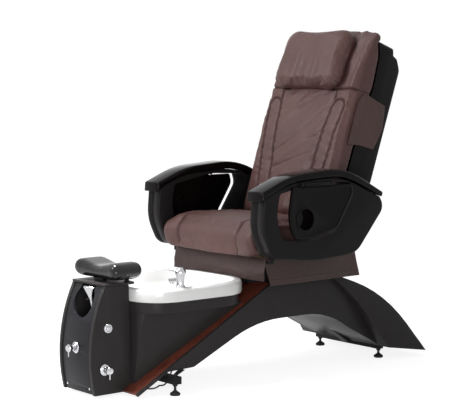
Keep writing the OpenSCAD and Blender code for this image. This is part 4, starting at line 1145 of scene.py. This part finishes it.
def seen_directly(tree):
    """A socket that is 1 for camera, glossy and transmission rays and 0 for the others."""
    path = tree.nodes.new("ShaderNodeLightPath").outputs
    seen = path["Is Camera Ray"]
    for ray in ("Is Glossy Ray", "Is Transmission Ray"):
        either = tree.nodes.new("ShaderNodeMath")
        either.operation = "MAXIMUM"
        tree.links.new(seen, either.inputs[0])
        tree.links.new(path[ray], either.inputs[1])
        seen = either.outputs[0]
    return seen


def floor_finish():
    """A pale floor that looks white and keeps the chair's soft shadow."""
    f = Finish("floor", Roughness=0.9, Specular_IOR_Level=0.1, Base_Color=(0.5, 0.5, 0.5))
    glow = f.node("ShaderNodeEmission", {}, {
        "Strength": Signal(f, seen_directly(f.tree)) * FLOOR_GLOW}).socket
    both = f.node("ShaderNodeAddShader", {}).socket
    f.tree.links.new(f.shader.outputs[0], both.node.inputs[0])
    f.tree.links.new(glow, both.node.inputs[1])
    f.tree.links.new(both, f.output.inputs[0])
    return f.material


def lamp(name, place, target, size, power, spread):
    """A square soft lamp at place, aimed at target."""
    light = bpy.data.lights.new(name, "AREA")
    light.size = size
    light.energy = power
    light.spread = math.radians(spread)
    held = bpy.data.objects.new(name, light)
    bpy.context.scene.collection.objects.link(held)
    held.location = place
    held.rotation_euler = (Vector(target) - Vector(place)).to_track_quat("-Z", "Y").to_euler()


def camera():
    """Looks from the front, on the sitter's left, slightly down on the chair."""
    lens = bpy.data.cameras.new("camera")
    lens.sensor_width = 36
    lens.lens = CAMERA_LENS
    lens.clip_end = 60
    held = bpy.data.objects.new("camera", lens)
    bpy.context.scene.collection.objects.link(held)
    held.location = CAMERA_PLACE
    level = math.cos(CAMERA_DIP)
    ahead = Vector((-math.sin(CAMERA_TURN) * level, math.cos(CAMERA_TURN) * level,
                    -math.sin(CAMERA_DIP)))
    held.rotation_euler = ahead.to_track_quat("-Z", "Y").to_euler()
    bpy.context.scene.camera = held


# ---- panel and registration -----------------------------------------------------------------


# Every operator, in the order in which main runs them
OPERATORS = (
    CHAIR_OT_stage, CHAIR_OT_base, CHAIR_OT_basin, CHAIR_OT_tower, CHAIR_OT_footrest,
    CHAIR_OT_mechanism, CHAIR_OT_sheets, CHAIR_OT_arms, CHAIR_OT_seat, CHAIR_OT_back,
    CHAIR_OT_pillow)


class CHAIR_PT_panel(bpy.types.Panel):
    """Sizes, colours and pieces of the chair"""

    bl_idname = "CHAIR_PT_panel"
    bl_label = "Spa Chair"
    bl_space_type = "VIEW_3D"
    bl_region_type = "UI"
    bl_category = "Spa Chair"

    def draw(self, context):
        for group in (context.scene.chair_upholstery, context.scene.chair_finish):
            box = self.layout.box()
            for name in group.__annotations__:
                box.prop(group, name)
        for operator in OPERATORS:
            self.layout.operator(operator.bl_idname)


CLASSES = (UpholsterySettings, FinishSettings, *OPERATORS, CHAIR_PT_panel)


def register():
    for cls in CLASSES:
        bpy.utils.register_class(cls)
    bpy.types.Scene.chair_upholstery = bpy.props.PointerProperty(type=UpholsterySettings)
    bpy.types.Scene.chair_finish = bpy.props.PointerProperty(type=FinishSettings)


def unregister():
    del bpy.types.Scene.chair_finish
    del bpy.types.Scene.chair_upholstery
    for cls in reversed(CLASSES):
        bpy.utils.unregister_class(cls)


def main():
    register()
    make_finishes()
    for operator in OPERATORS:
        getattr(bpy.ops.chair, operator.bl_idname.split(".")[1])()


if __name__ == "__main__":
    main()
